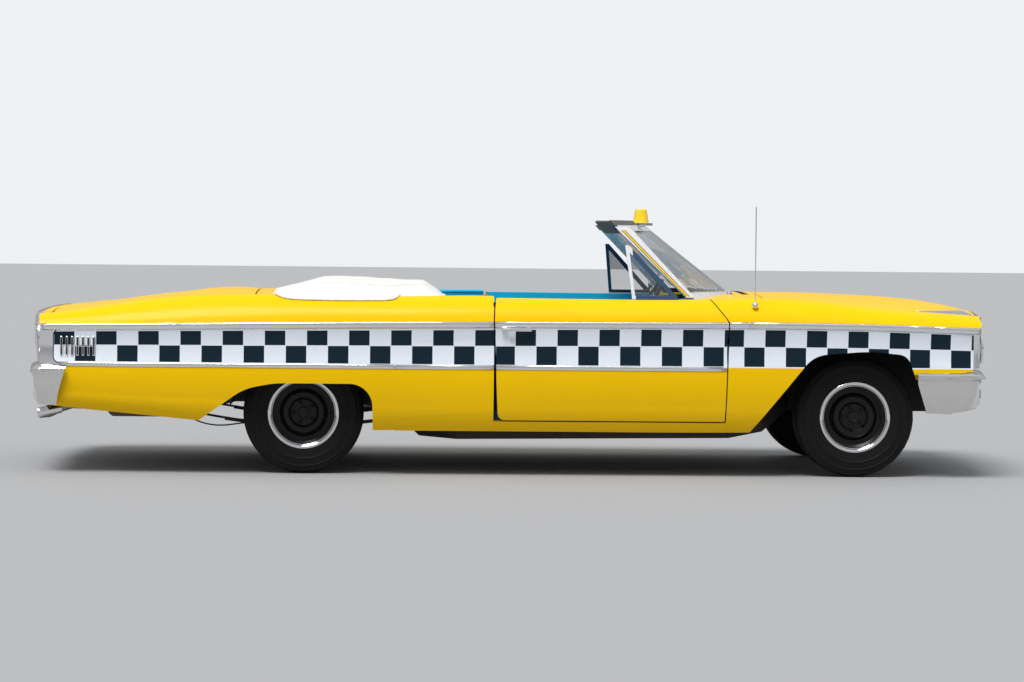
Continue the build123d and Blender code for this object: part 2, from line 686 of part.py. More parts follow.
def grille():
    shell = end_region(NOSE_X, NOSE_SWEEP, -6, 606, 860) - end_region(NOSE_X, NOSE_SWEEP, -20, 596, 870)
    opening = end_region(NOSE_X, NOSE_SWEEP, 30, 628, 806) & box(2000, 2800, -505, 505, 600, 900)
    shell = (shell & box(2300, 2800, -868, 868, 606, 862)) - opening
    for y in LAMP_YS:
        for s in (-1, 1):
            shell -= rod((2400, s * y, LAMP_Z), (2800, s * y, LAMP_Z), LAMP_R + SEAT_GAP)
    bars = None
    for k in range(7):
        z = 644 + k * 24
        bar = (end_region(NOSE_X, NOSE_SWEEP, -14, z - 3, z + 3)
               - end_region(NOSE_X, NOSE_SWEEP, -19, z - 4, z + 4)) & box(2300, 2800, -507, 507, 600, 900)
        shell += bar
    header = crowned(lambda x: interpolate(HOOD_TABLE, x), [2300, 2680], 44, 3)
    header &= end_region(NOSE_X, NOSE_SWEEP, -6) - end_region(NOSE_X, NOSE_SWEEP, -NOSE_SET_BACK + LID_GAP)
    return shell + header


def headlamps():
    lamp = Rot(0, 90, 0) * revolve_profile([(0, 26), (30, 22), (55, 11), (LAMP_R, 0), (LAMP_R, -14),
                                            (50, -60), (0, -70)])
    out = []
    for y in LAMP_YS:
        x = NOSE_X - NOSE_SWEEP * (y / END_HALF_WIDTH) ** 2 - 16
        out += [Pos(x, s * y, LAMP_Z) * lamp for s in (1, -1)]
    return out


def bumper(x_side, x_tip, nose, sweep, profile, height0, height1):
    """A wrap-round blade: the plan curve of the end, turned back along the sides, in one sheet."""
    def outer(shift, width, z0, z1):
        sweep_region = end_region(nose, sweep, shift, z0, z1)
        slab = box(-3000, 3000, -width, width, z0, z1)
        return sweep_region & slab

    sign = 1 if nose > 0 else -1
    solid = outer(0, 1003, height0, height1)
    solid = fillet(solid.edges().filter_by(Axis.Z).filter_by(lambda e: sign * e.center().X > 1500), 62)
    hollow = outer(-sign * 14, 989, height0 - 5, height1 + 5)
    hollow = fillet(hollow.edges().filter_by(Axis.Z).filter_by(lambda e: sign * e.center().X > 1500), 48)
    mouth = outer(-sign * 62, 986, height0 - 5, height1 + 5)
    shape = prism_xz(profile, -1100, 1100)
    hollow &= extrude(offset(polygon([(x, -1100, z) for x, z in profile]), -13), amount=2200, dir=(0, 1, 0))
    return (solid & shape) - hollow - mouth


def front_bumper():
    profile = [(2230, 583), (2636, 583), (FRONT_END, 548), (2655, 440), (2612, 378), (2425, 355),
               (2282, 361), (2234, 520)]
    blade = bumper(2228, 2597, FRONT_END, 70, profile, 350, 583)
    irons = fused(*[box(2440 + SEAT_GAP, 2658, s * 400 - 25, s * 400 + 25, 372, 424) for s in (-1, 1)])
    irons &= prism_xz([(2430, 360), (2600, 372), (2648, 440), (2430, 440)], -500, 500) \
        & end_region(FRONT_END, 70, -7)
    return blade + irons


def rear_bumper():
    profile = [(-2416, 580), (-2543, 592), (-2636, 584), (REAR_END, 548), (-2655, 440), (-2606, 371),
               (-2477, 371), (-2420, 560)]
    blade = bumper(-2416, -2611, REAR_END, 54, profile, 350, 600)
    irons = fused(*[box(-2658, -2440 - SEAT_GAP, s * 460 - 25, s * 460 + 25, 372, 436) for s in (-1, 1)])
    irons &= prism_xz([(-2430, 360), (-2598, 372), (-2648, 440), (-2430, 440)], -500, 500) \
        & end_region(REAR_END, 54, 7)
    return blade + irons


# Windshield and what it carries ------------------------------------------------------------

def windshield_glass():
    return glass_band(950, HEADER_LOW_Z - 1, 0, GLASS_THICKNESS) - cowl_crown(200, lift=7, out_to=900)


def windshield_frame():
    header = glass_band(HEADER_LOW_Z, HEADER_Z, -34, 10, more=4)
    sill = glass_band(950, 1004, -14, 14, more=0.8)
    frame = header + sill
    for s in (-1, 1):
        low = [(950, 752), (997, 752), (997, 866), (950, 866)]
        high = [(566, 588), (664, 588), (644, 712), (566, 712)]
        pillar = loft([polygon([(x, s * y, 980) for x, y in low]),
                       polygon([(x, s * y, HEADER_Z - 8) for x, y in high])], ruled=True)
        foot = box(950, 997, 752, DOOR_INNER_Y - SHUT_GAP, 956 + SEAT_GAP, 981)
        foot = foot if s > 0 else mirrored(foot)
        frame = fused(frame, pillar, foot)
    frame -= cowl_crown(200, lift=SEAT_GAP, out_to=940)
    frame -= glass_band(950, HEADER_LOW_Z - 1, -SEAT_GAP, GLASS_THICKNESS + SEAT_GAP, more=0.1)
    return frame


def beacon_base():
    return Pos(BEACON_X, 0, HEADER_Z + SEAT_GAP + 7) * Cylinder(BEACON_BASE_R, 14)


def beacon_dome():
    z0 = HEADER_Z + 14 + 2 * SEAT_GAP
    h = BEACON_TOP_Z - z0
    dome = revolve_profile([(0, 0), (BEACON_DOME_R, 0), (BEACON_DOME_R - 2, 10), (34, h - 8), (26, h), (0, h)])
    return Pos(BEACON_X, 0, z0) * dome


def antenna():
    x, r = ANTENNA_X, 18
    v = {c: side(c, x) for c in SIDE_COLUMNS[1:]}
    arc = bulged(P(x, v["crest_y"], v["crest_z"]), P(x, v["wide_y"], v["mould_z"]), SHOULDER_BULGE)
    seat, along = arc @ 0.5, arc % 0.5
    centre = seat + Vector(0, -along.Z, along.Y) * (r + SEAT_GAP)
    ball = Pos(*centre) * Sphere(r)
    mast = rod((x, centre.Y, centre.Z), (x, centre.Y, 1478), 2.6)
    return mirrored(ball + mast)


def sun_visors():
    out = []
    for s in (-1, 1):
        board = fillet(Box(96, 470, 15).edges().filter_by(Axis.Y), 5)
        out.append(Pos(656.6, s * 335, 1362.2) * Rot(0, 0, s * 19.9) * Rot(0, 46, 0) * board)
    return out


# Cabin -------------------------------------------------------------------------------------

def tunnel_rod(radius, beyond=400):
    """The tunnel's round form, run on past both its ends."""
    a, b = Vector(*TUNNEL_AXIS[0]), Vector(*TUNNEL_AXIS[1])
    d = (b - a).normalized() * beyond
    return rod(tuple(a - d), tuple(b + d), radius)


def floor_pan():
    line = [(FIREWALL_X - 0.3, 430), (FIREWALL_X - 130, FLOOR_Z), (-182, FLOOR_Z), (-182, 372),
            (-560, 372), (-640, 600), (-1500, 600), (-1660, TRUNK_FLOOR_Z), (-2520, TRUNK_FLOOR_Z)]
    pan = sheet_xz(line[::-1], FLOOR_SHEET, -WHEELHOUSE_Y, WHEELHOUSE_Y)
    edge = SILL_INNER_Y - SEAT_GAP
    for x0, x1, z, y in ((-182, FIREWALL_X - 132, FLOOR_Z, edge), (-560, -182, 372, edge),
                         (-2520, -1660, TRUNK_FLOOR_Z, 868)):
        pan += box(x0, x1, -y, y, z, z + FLOOR_SHEET)
    for x0, x1, z0, z1 in ((-188, -182, FLOOR_Z, 374), (-566, -560, 372, 600)):
        for s in (-1, 1):
            pan += box(x0, x1, min(s * 600, s * edge), max(s * 600, s * edge), z0, z1)
    keep = box(-185, FIREWALL_X - 0.3, -140, 140, FLOOR_Z, 600)
    pan -= tunnel_rod(TUNNEL_R - FLOOR_SHEET) & box(-189, 1400, -200, 200, 200, 600)
    pan += (tunnel_rod(TUNNEL_R) & keep) - tunnel_rod(TUNNEL_R - FLOOR_SHEET)
    return pan


def wheelhouses():
    x, r = REAR_AXLE_X, WHEELHOUSE_R
    y = WHEELHOUSE_Y + SEAT_GAP
    shell = rod((x, y, AXLE_Z), (x, 970, AXLE_Z), r) - rod((x, y + 8, AXLE_Z), (x, 972, AXLE_Z), r - 8)
    shell &= box(x - 500, x + 500, 560, 970, 380, 760)
    shell -= box(-600, 0, 560, 1000, 300, 800)
    shell &= side_interior(QUARTER_XS, 500)
    return both(shell)


def side_interior(xs, inner_y):
    """The space inside the body's skin on the left, in from its sheet."""
    faces = []
    for x in xs:
        outer, lip, bottom = outer_profile(x, SHEET + SEAT_GAP)
        low, high = P(x, inner_y, bottom.Z), P(x, inner_y, lip.Z)
        faces.append(make_face(Wire(outer + [Line(bottom, low), Line(low, high), Line(high, lip)])))
    return loft(faces)


def dashboard():
    profile = [(FIREWALL_X - 0.3, 800), (FIREWALL_X - 0.3, 948), (1110, 951), (1052, 944), (1030, 916),
               (1042, 838), (1075, 790), (1150, 770)]
    body = prism_xz(profile, -DASH_HALF_WIDTH, DASH_HALF_WIDTH)
    d = column_axis()
    return body - rod(tuple(WHEEL_CENTRE), tuple(COLUMN_FOOT + d * 100), COLUMN_R + SEAT_GAP)


WHEEL_CENTRE = P(830, 392, 880)
COLUMN_FOOT = P(1288, 392, 620)


def column_axis():
    return (COLUMN_FOOT - WHEEL_CENTRE).normalized()


def steering_column():
    d = column_axis()
    top = WHEEL_CENTRE + d * 60
    tube = rod(tuple(top), tuple(COLUMN_FOOT + d * 50), COLUMN_R)
    tube -= rod(tuple(top - d), tuple(top + d * 40), 14 + RUNNING_GAP)
    return tube


def steering_wheel():
    d = column_axis()
    plane = Plane(origin=WHEEL_CENTRE, z_dir=d)
    rim = Location(plane) * Torus(196, 12)
    hub = rod(tuple(WHEEL_CENTRE - d * 6), tuple(WHEEL_CENTRE + d * 50), 34)
    shaft = rod(tuple(WHEEL_CENTRE + d * 49), tuple(WHEEL_CENTRE + d * 88), 14)
    wheel = fused(rim, hub, shaft)
    for a in (100, 220, 340):
        spoke = Location(plane) * (Rot(0, 0, a) * Pos(112, 0, 6) * Box(176, 26, 9))
        wheel = wheel + spoke
    return wheel


def front_seat():
    cushion = fillet(box(240, 760, -700, 700, 330, 500).edges().filter_by(Axis.Y), 45)
    back = prism_xz([(290, 500.3), (60, 500.3), (-30, 905), (30, 925), (110, 915)], -700, 700)
    cushion -= tunnel_rod(TUNNEL_R + 6)
    base = box(260, 700, 170, 640, FLOOR_Z + FLOOR_SHEET + SEAT_GAP, 330 - SEAT_GAP)
    return [cushion, back, base, mirrored(base)]


def rear_seat():
    cushion = fillet(box(-540, -40, -690, 690, 372 + FLOOR_SHEET + SEAT_GAP, 500).edges().filter_by(Axis.Y), 40)
    cushion -= tunnel_rod(TUNNEL_R + 6)
    back = prism_xz([(-380, 500.3), (-548, 500.3), (-566, 900), (-446, 918)], -690, 690)
    return [cushion, back]


def boot_cover():
    low = BOOT_REBATE[4] + SEAT_GAP
    stations = [(-1306, 962, 980, 786), (-1200, low, 1012, 862), (-1050, low, 1058, 864), (-780, low, 1056, 864),
                (-612, low, 1048, 862), (-588, low, 1046, 796), (-470, 930, 1036, 780), (-345, 925, 952, 760)]
    faces = []
    for x, low, high, half in stations:
        a, b = P(x, -half, low), P(x, half, low)
        edge = max(high - 34, low + 6)
        ea, eb = P(x, -half + 40, edge), P(x, half - 40, edge)
        top = ThreePointArc(ea, P(x, 0, high), eb)
        faces.append(make_face([Line(a, ea), top, Line(eb, b), Line(b, a)]))
    return loft(faces, ruled=True)


# Engine bay and chassis ----------------------------------------------------------------------

def engine_bay():
    """Inner aprons beside the engine, each with its shelf over the wheel."""
    y = FRONT_RAIL_Y + RAIL_WIDTH / 2 + SEAT_GAP
    apron = prism_xz([(FIREWALL_X + 9, 440), (1575, 440), (1575, 372), (2470, 372), (2470, 870), (2000, 925),
                      (FIREWALL_X + 9, 930)], y, y + 8)
    apron -= box(FRONT_AXLE_X - 125, FRONT_AXLE_X + 125, 300, 600, 440, 520)
    shelf = box(1420, 2380, y + 7, 960, 716, 722) & side_interior((1300, 1450, 1900, 2300, 2600), 400)
    return both(apron + shelf)


def radiator_support():
    return box(2470 + SEAT_GAP, 2485, -690, 690, 428, 848) - box(2460, 2500, -330, 330, 450, 820)


def radiator():
    return box(2440, 2500, -330 + SEAT_GAP, 330 - SEAT_GAP, 450 + SEAT_GAP, 820 - SEAT_GAP)


def engine():
    return fillet(box(1480, 2180, -235, 235, 420, 860).edges().filter_by(Axis.Z), 30)


def driveline():
    def circle(x, z, r):
        return Plane(origin=(x, 0, z), z_dir=(1, 0, 0)) * Circle(r)

    bell = loft([circle(1310, 372, 88), circle(1480 - SEAT_GAP, 400, 150)], ruled=True)
    case = loft([circle(1120, 362, 80), circle(1311, 372, 86)], ruled=True)
    tail = rod((1121, 0, 360), (700, 0, 332), 46)
    shaft = rod((702, 0, 332), (REAR_AXLE_X + PINION_REACH + SEAT_GAP, 0, AXLE_Z), 33)
    return fused(bell, case, tail, shaft)


PINION_REACH = 171


def rear_axle():
    tube = rod((REAR_AXLE_X, -700, AXLE_Z), (REAR_AXLE_X, 700, AXLE_Z), 40)
    nose = rod((REAR_AXLE_X, 0, AXLE_Z), (REAR_AXLE_X + PINION_REACH, 0, AXLE_Z), 70)
    case = Pos(REAR_AXLE_X, 0, AXLE_Z) * Sphere(138)
    axle = fused(tube, case, nose)
    for s in (-1, 1):
        axle += rod((REAR_AXLE_X, s * 684, AXLE_Z), (REAR_AXLE_X, s * 692, AXLE_Z), DRUM_R + 4)
        axle += rod((REAR_AXLE_X, s * 690, AXLE_Z), (REAR_AXLE_X, s * (REAR_TRACK / 2 + 30), AXLE_Z), SPINDLE_R)
    return axle


LEAF_Y = 560


def leaf_springs():
    path = [(-560, 300), (-850, 258), (REAR_AXLE_X, 262), (-1450, 262), (-1745, 330)]
    out = []
    for s in (-1, 1):
        def leaf(x0, x1, low, thick):
            mid = (x0 + x1) / 2
            arc = ThreePointArc(P(x0, s * LEAF_Y - 32, low + 62 * ((x0 - REAR_AXLE_X) / 600) ** 2),
                                P(REAR_AXLE_X, s * LEAF_Y - 32, low),
                                P(x1, s * LEAF_Y - 32, low + 62 * ((x1 - REAR_AXLE_X) / 600) ** 2))
            top = ThreePointArc(P(x0, s * LEAF_Y - 32, low + thick + 62 * ((x0 - REAR_AXLE_X) / 600) ** 2),
                                P(REAR_AXLE_X, s * LEAF_Y - 32, low + thick),
                                P(x1, s * LEAF_Y - 32, low + thick + 62 * ((x1 - REAR_AXLE_X) / 600) ** 2))
            return extrude(make_face([arc, top, Line(arc @ 0, top @ 0), Line(arc @ 1, top @ 1)]),
                           amount=64, dir=(0, 1, 0))
        main = leaf(REAR_AXLE_X - 600, REAR_AXLE_X + 600, 248, 9)
        second = leaf(REAR_AXLE_X - 440, REAR_AXLE_X + 440, 240.5, 8)
        third = leaf(REAR_AXLE_X - 280, REAR_AXLE_X + 280, 233, 8)
        pad = box(REAR_AXLE_X - 60, REAR_AXLE_X + 60, s * LEAF_Y - 34, s * LEAF_Y + 34, 256, 300)
        pad -= rod((REAR_AXLE_X, -700, AXLE_Z), (REAR_AXLE_X, 700, AXLE_Z), 40 + SEAT_GAP)
        hanger = box(REAR_AXLE_X + 560, REAR_AXLE_X + 640, s * LEAF_Y - 34, s * LEAF_Y + 34, 300, 372 - SEAT_GAP)
        shackle = box(REAR_AXLE_X - 630, REAR_AXLE_X - 570, s * LEAF_Y - 34, s * LEAF_Y + 34, 300,
                      TRUNK_FLOOR_Z - SEAT_GAP)
        out.append(fused(main, second, third, pad, hanger, shackle))
    return out


def exhaust():
    """Front pipe, muffler and tail pipe on the right."""
    y = -330
    z = FLOOR_Z - 26
    front = [P(1560, -262, 400), P(1420, y, z), P(300, y, z)]
    tail = [P(-400, y, z), P(-560, y, z), P(-900, -380, 430), P(-1380, -380, 430), P(-1660, -420, 318),
            P(-1960, -560, 318), P(-2240, -690, 320), P(-2575, -752, 314)]
    pieces = []
    for points, radius in ((front, 110), (tail, 120)):
        path = FilletPolyline(*points, radius=radius)
        pieces.append(sweep(Plane(origin=path @ 0, z_dir=path % 0) * Circle(24), path=path))
    muffler = fillet(box(-420, 320, y - 80, y + 80, FLOOR_Z - 90, FLOOR_Z - 6).edges().filter_by(Axis.X), 34)
    return fused(muffler, *pieces)


def chassis_frame():
    y, low, high = FRONT_RAIL_Y, FRONT_RAIL_LOW, FRONT_RAIL_HIGH
    floor = FLOOR_Z - SEAT_GAP
    rear_top = TRUNK_FLOOR_Z - SEAT_GAP
    stations = [(2440, y, low, high), (1570, y, low, high), (1390, 690, 240, 330), (1200, 745, 206, floor),
                (-300, 745, FRAME_BOTTOM_Z, floor), (-500, 470, FRAME_BOTTOM_Z, floor), (-760, 470, 430, 514),
                (-1450, 470, 458, 542), (-1650, 460, 364, rear_top), (-2440, 460, 364, rear_top)]
    frame = fused(*[rail([(x, s * y, a, b) for x, y, a, b in stations], RAIL_WIDTH) for s in (1, -1)])
    for x, half, a, b in ((2340, y, low, high), (1150, 745, 204, 249.7), (-1580, 480, 440, 480),
                          (-2320, 460, 366, rear_top), (-462, 530, 204, 249.7)):
        frame += box(x - 35, x + 35, -half, half, a, b)
    return frame


FRONT_RAIL_Y = 400
FRONT_RAIL_LOW = 343
FRONT_RAIL_HIGH = 427
RAIL_WIDTH = 76


def fuel_tank():
    return fillet(box(-2240, -1780, -360, 400, 276, TRUNK_FLOOR_Z - SEAT_GAP).edges().filter_by(Axis.Y), 40)


def front_suspension():
    """Cross-member and lower arms, and the upper arms on the rails, out to the knuckles' ball studs."""
    x, y = FRONT_AXLE_X, KINGPIN_Y
    lower = box(x - 60, x + 60, -400, 400, 250, FRONT_RAIL_LOW - SEAT_GAP)
    uppers = []
    for s in (-1, 1):
        arm = prism_xy([(x - 110, s * 320), (x + 110, s * 320), (x + 22, s * y), (x - 22, s * y)], 216, 238)
        foot = box(x - 60, x + 60, min(s * 320, s * 395), max(s * 320, s * 395), 217, 260)
        lower = fused(lower, arm, foot, rod((x, s * y, 210), (x, s * y, 249.7), 26))
        upper = prism_xy([(x - 90, s * 366), (x + 90, s * 366), (x + 20, s * y), (x - 20, s * y)], 466, 482)
        tower = box(x - 90, x + 90, min(s * 366, s * 434), max(s * 366, s * 434), FRONT_RAIL_HIGH + SEAT_GAP, 482)
        uppers.append(fused(upper, tower, rod((x, s * y, 450.3), (x, s * y, 486), 26)))
    pieces = [lower] + uppers
    return [p - rod((x, -y, 180), (x, -y, 520), KINGPIN_R + RUNNING_GAP)
            - rod((x, y, 180), (x, y, 520), KINGPIN_R + RUNNING_GAP) for p in pieces]


def knuckle(sign):
    x, y = FRONT_AXLE_X, KINGPIN_Y
    pin = rod((x, y, 206), (x, y, 490), KINGPIN_R)
    upright = rod((x, y, 250), (x, y, 450), 28)
    plate = rod((x, 704, AXLE_Z), (x, 711, AXLE_Z), DRUM_R + 4)
    spindle = rod((x, y, AXLE_Z), (x, FRONT_TRACK / 2 + 30, AXLE_Z), SPINDLE_R)
    boss = rod((x, y, AXLE_Z), (x, 705, AXLE_Z), 40)
    end_y = y - STEER_ARM_IN
    arm = prism_xy([(x, y - 14), (x, y + 14), (x - STEER_ARM, end_y + 11), (x - STEER_ARM, end_y - 11)],
                   STEER_ARM_Z - 8, STEER_ARM_Z + 8)
    arm += rod((x - STEER_ARM, end_y, STEER_ARM_Z - 8), (x - STEER_ARM, end_y, STEER_ARM_Z + 8), 16)
    whole = fused(upright, pin, plate, boss, spindle, arm)
    return whole if sign > 0 else mirrored(whole)


def tie_rod():
    x, y, z = FRONT_AXLE_X - STEER_ARM, KINGPIN_Y - STEER_ARM_IN, STEER_ARM_Z + 8 + SEAT_GAP
    bar = rod((x, -y, z + 14), (x, y, z + 14), 12)
    for s in (-1, 1):
        bar += rod((x, s * y, z), (x, s * y, z + 28), 15)
    return bar


# Wheels ---------------------------------------------------------------------------------------

def wheel(x, y, sign):
    t = RIM_SHEET
    w = RIM_WIDTH / 2
    rim = revolve_profile([(RIM_R, -w), (FLANGE_R, -w - 3), (FLANGE_R, -w - 10), (RIM_R - t, -w - 5),
                           (RIM_R - t, -20), (156, -8), (156, 30), (RIM_R - t, 40), (RIM_R - t - 4, w + 4),
                           (FLANGE_R, w + 12), (FLANGE_R, w + 4), (RIM_R, w)])
    disc = revolve_profile([(40, 8), (SPINDLE_R + RUNNING_GAP, 8), (SPINDLE_R + RUNNING_GAP, 26), (70, 26),
                            (84, 40), (108, 40), (132, 18), (157, 18), (157, 9), (128, 9), (104, 31), (88, 31),
                            (74, 17), (40, 17)])
    hub = revolve_profile([(SPINDLE_R + RUNNING_GAP, -58), (HUB_R, -58), (HUB_R, 18), (SPINDLE_R + RUNNING_GAP, 18)])
    drum = revolve_profile([(HUB_R - 1, -14), (DRUM_R, -14), (DRUM_R, -58), (DRUM_R - 8, -58), (DRUM_R - 8, -22),
                            (HUB_R - 1, -22)])
    for k in range(VENT_COUNT):
        a = 2 * math.pi * (k + 0.5) / VENT_COUNT
        disc -= Pos(VENT_CIRCLE * math.cos(a), VENT_CIRCLE * math.sin(a), 25) * Cylinder(VENT_R, 60)
    cap = revolve_profile([(0, 47), (25, 47), (30, 42), (30, 25), (24.5, 25), (24.5, 36), (0, 36)])
    body = fused(rim, disc, hub, drum, cap)
    for k in range(LUG_COUNT):
        a = 2 * math.pi * (k + 0.5) / LUG_COUNT
        r = LUG_CIRCLE / 2
        body += Pos(r * math.cos(a), r * math.sin(a), 30) * Cylinder(LUG_R, 14)
    turned = Rot(-90 * sign, 0, 0) * body
    return Pos(x, y, AXLE_Z) * turned


def tyre(x, y, sign):
    half = TYRE_WIDTH / 2
    w = RIM_WIDTH / 2
    profile = [(RIM_R, -w + 0.3), (FLANGE_R + 0.6, -w - 2.3), (FLANGE_R + 0.6, -w - 11), (262, -half), (300, -half + 6),
               (TYRE_R - 6, -72), (TYRE_R - 1.5, -62), (TYRE_R, 0), (TYRE_R - 1.5, 62), (TYRE_R - 6, 72),
               (300, half - 6), (262, half), (FLANGE_R + 0.6, w + 12.6), (FLANGE_R + 0.6, w + 3.3), (RIM_R, w - 0.3)]
    body = revolve_profile(profile)
    return Pos(x, y, AXLE_Z) * (Rot(-90 * sign, 0, 0) * body)


def cord(points, radius):
    """A round cord through points, each bend as wide as its two runs allow."""
    points = [Vector(*p) for p in points]
    radii = []
    for a, b, c in zip(points, points[1:], points[2:]):
        turn = (b - a).get_angle(c - b)
        radii.append(0.45 * min((b - a).length, (c - b).length) / math.tan(math.radians(turn / 2)))
    path = FilletPolyline(*points, radius=radii)
    return sweep(Plane(origin=path @ 0, z_dir=path % 0) * Circle(radius), path=path)


def brake_cable():
    """The parking brake's cable, from its clip on the frame rail down to the axle's spring."""
    leaf_side = -(LEAF_Y + 32 + CABLE_R + SEAT_GAP)
    rail_side = -(460 + RAIL_WIDTH / 2 + CABLE_R + SEAT_GAP)
    return cord([(-1950, rail_side, 384), (-1895, rail_side, 380), (-1845, rail_side - 22, 350),
                 (-1800, rail_side - 50, 308), (-1748, rail_side - 76, 276), (-1690, leaf_side - 9, 256),
                 (-1630, leaf_side - 12, 246), (-1570, leaf_side - 8, 246), (-1510, leaf_side - 2, 254),
                 (-1450, leaf_side, 262), (-1390, leaf_side, 259)], CABLE_R)


CABLE_R = 4


# Every node, in build order ----------------------------------------------------------------------

def wheel_centres():
    return {
        "front_left": (FRONT_AXLE_X, FRONT_TRACK / 2, 1), "front_right": (FRONT_AXLE_X, -FRONT_TRACK / 2, -1),
        "rear_left": (REAR_AXLE_X, REAR_TRACK / 2, 1), "rear_right": (REAR_AXLE_X, -REAR_TRACK / 2, -1)}


def nodes():
    out = {
        "chassis_frame": chassis_frame(), "floor_pan": floor_pan(), "cowl": cowl(),
        "front_fenders": both(front_fender()), "quarter_panels": both(quarter_panel()),
        "rocker_panels": both(rocker()), "wheelhouses": wheelhouses(), "rear_deck": rear_deck(),
        "tail_panel": tail_panel(), "engine_bay": engine_bay(), "radiator_support": radiator_support(),
        "radiator": radiator(), "engine": engine(), "driveline": driveline(), "rear_axle": rear_axle(),
        "leaf_springs": leaf_springs(), "exhaust": exhaust(),
        "fuel_tank": fuel_tank(), "front_suspension": front_suspension(),
        "front_bumper": front_bumper(), "rear_bumper": rear_bumper(), "grille": grille(), "headlamps": headlamps(),
        "tail_lamps": tail_lamps(), "windshield_frame": windshield_frame(), "windshield_glass": windshield_glass(),
        "dashboard": dashboard(), "steering_column": steering_column(), "front_seat": front_seat(),
        "rear_seat": rear_seat(), "boot_cover": boot_cover(), "beacon_base": beacon_base(),
        "beacon_dome": beacon_dome(), "antenna": antenna(), "sun_visors": sun_visors(),
        "brake_cable": brake_cable(), "hood": hood(), "trunk_lid": trunk_lid(),
        "door_left": door(1), "door_right": door(-1), "vent_frame_left": vent_frame(),
        "vent_frame_right": mirrored(vent_frame()), "vent_glass_left": vent_glass(),
        "vent_glass_right": mirrored(vent_glass()), "door_handle_left": door_handle(1),
        "door_handle_right": mirrored(door_handle(1)), "door_mirror": door_mirror(),
        "steering_wheel": steering_wheel(), "knuckle_left": knuckle(1), "knuckle_right": knuckle(-1),
        "tie_rod": tie_rod(),
    }
    for place, (x, y, sign) in wheel_centres().items():
        out["wheel_" + place] = wheel(x, y, sign)
        out["tyre_" + place] = tyre(x, y, sign)
    return out


def write(name, shape):
    solids = []
    for item in (shape if isinstance(shape, (list, tuple)) else [shape]):
        solids += solids_of(item)
    export_step(Compound(children=solids) if len(solids) > 1 else solids[0], "parts/" + name + ".step")


os.makedirs("parts", exist_ok=True)
for node_name, node_shape in nodes().items():
    write(node_name, node_shape)
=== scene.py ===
"""A chequered open taxi cab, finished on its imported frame."""

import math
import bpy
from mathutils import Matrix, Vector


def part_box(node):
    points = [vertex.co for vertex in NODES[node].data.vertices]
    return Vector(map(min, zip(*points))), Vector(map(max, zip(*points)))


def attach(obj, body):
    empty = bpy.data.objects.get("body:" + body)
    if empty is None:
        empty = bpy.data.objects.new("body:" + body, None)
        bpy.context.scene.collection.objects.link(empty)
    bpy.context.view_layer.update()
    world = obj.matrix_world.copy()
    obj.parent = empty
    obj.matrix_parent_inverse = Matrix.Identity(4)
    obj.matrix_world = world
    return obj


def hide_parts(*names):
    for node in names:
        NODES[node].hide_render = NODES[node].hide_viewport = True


bl_info = {
    "name": "Open taxi cab",
    "version": (1, 0, 0),
    "blender": (4, 5, 0),
    "location": "3D View > Sidebar > Taxi cab",
    "description": "Finishes, trim, seats and stage for a two-door open taxi cab",
    "category": "Object",
}

import bmesh
import bpy
from mathutils import Matrix, Vector, noise
from mathutils.bvhtree import BVHTree

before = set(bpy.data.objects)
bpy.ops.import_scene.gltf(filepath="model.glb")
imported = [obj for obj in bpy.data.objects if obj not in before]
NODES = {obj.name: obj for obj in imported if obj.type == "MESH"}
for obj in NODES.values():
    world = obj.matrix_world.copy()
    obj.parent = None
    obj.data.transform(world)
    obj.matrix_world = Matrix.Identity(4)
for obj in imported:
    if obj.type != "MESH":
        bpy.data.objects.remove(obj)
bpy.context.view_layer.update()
FRONT_AXLE, REAR_AXLE, AXLE_HEIGHT = 1.8868, -1.1358, 0.330
WHEELS = {"front_right": (FRONT_AXLE, -1), "front_left": (FRONT_AXLE, 1),
          "rear_right": (REAR_AXLE, -1), "rear_left": (REAR_AXLE, 1)}
DOORS = ((-1, "door_right"), (1, "door_left"))
# The upper moulding's top edge as (x, height), how high that moulding is, and the lower moulding's two edges
MOULD_LINE = [(-2.64, 0.809), (-2.3, 0.813), (-1.85, 0.820), (-1.35, 0.829), (-0.8, 0.837), (0.0, 0.845),
              (1.08, 0.850), (1.45, 0.851), (1.9, 0.847), (2.3, 0.837), (2.68, 0.824)]
MOULD_HEIGHT = 0.0362
LOW_BOTTOM, LOW_TOP = 0.5795, 0.6065
# Where the doors' inner faces lie, and how near two corners of a CAD mesh are joined
DOOR_INNER, MERGE_REACH = 0.818, 3e-5


def line_at(table, x):
    """The height at x of a line given by its points."""
    for (a, u), (b, v) in zip(table, table[1:]):
        if x <= b:
            return u + (v - u) * (max(x, a) - a) / (b - a)
    return table[-1][1]


def column(table, k):
    """A line from a table's first column and its k-th."""
    return [(row[0], row[k]) for row in table]


def curve_at(table, x):
    """The height at x of a smooth curve through its points."""
    k = max(0, min(len(table) - 2, sum(1 for a, _ in table if a <= x) - 1))
    (a, u), (b, v) = table[k], table[k + 1]
    before, after = table[max(k - 1, 0)], table[min(k + 2, len(table) - 1)]
    first = (v - before[1]) / (b - before[0]) * (b - a)
    last = (after[1] - u) / (after[0] - a) * (b - a)
    t = (x - a) / (b - a)
    return u + t * first + t * t * (3 * (v - u) - 2 * first - last) + t ** 3 * (first + last - 2 * (v - u))


# Sizes and colours that a user may change


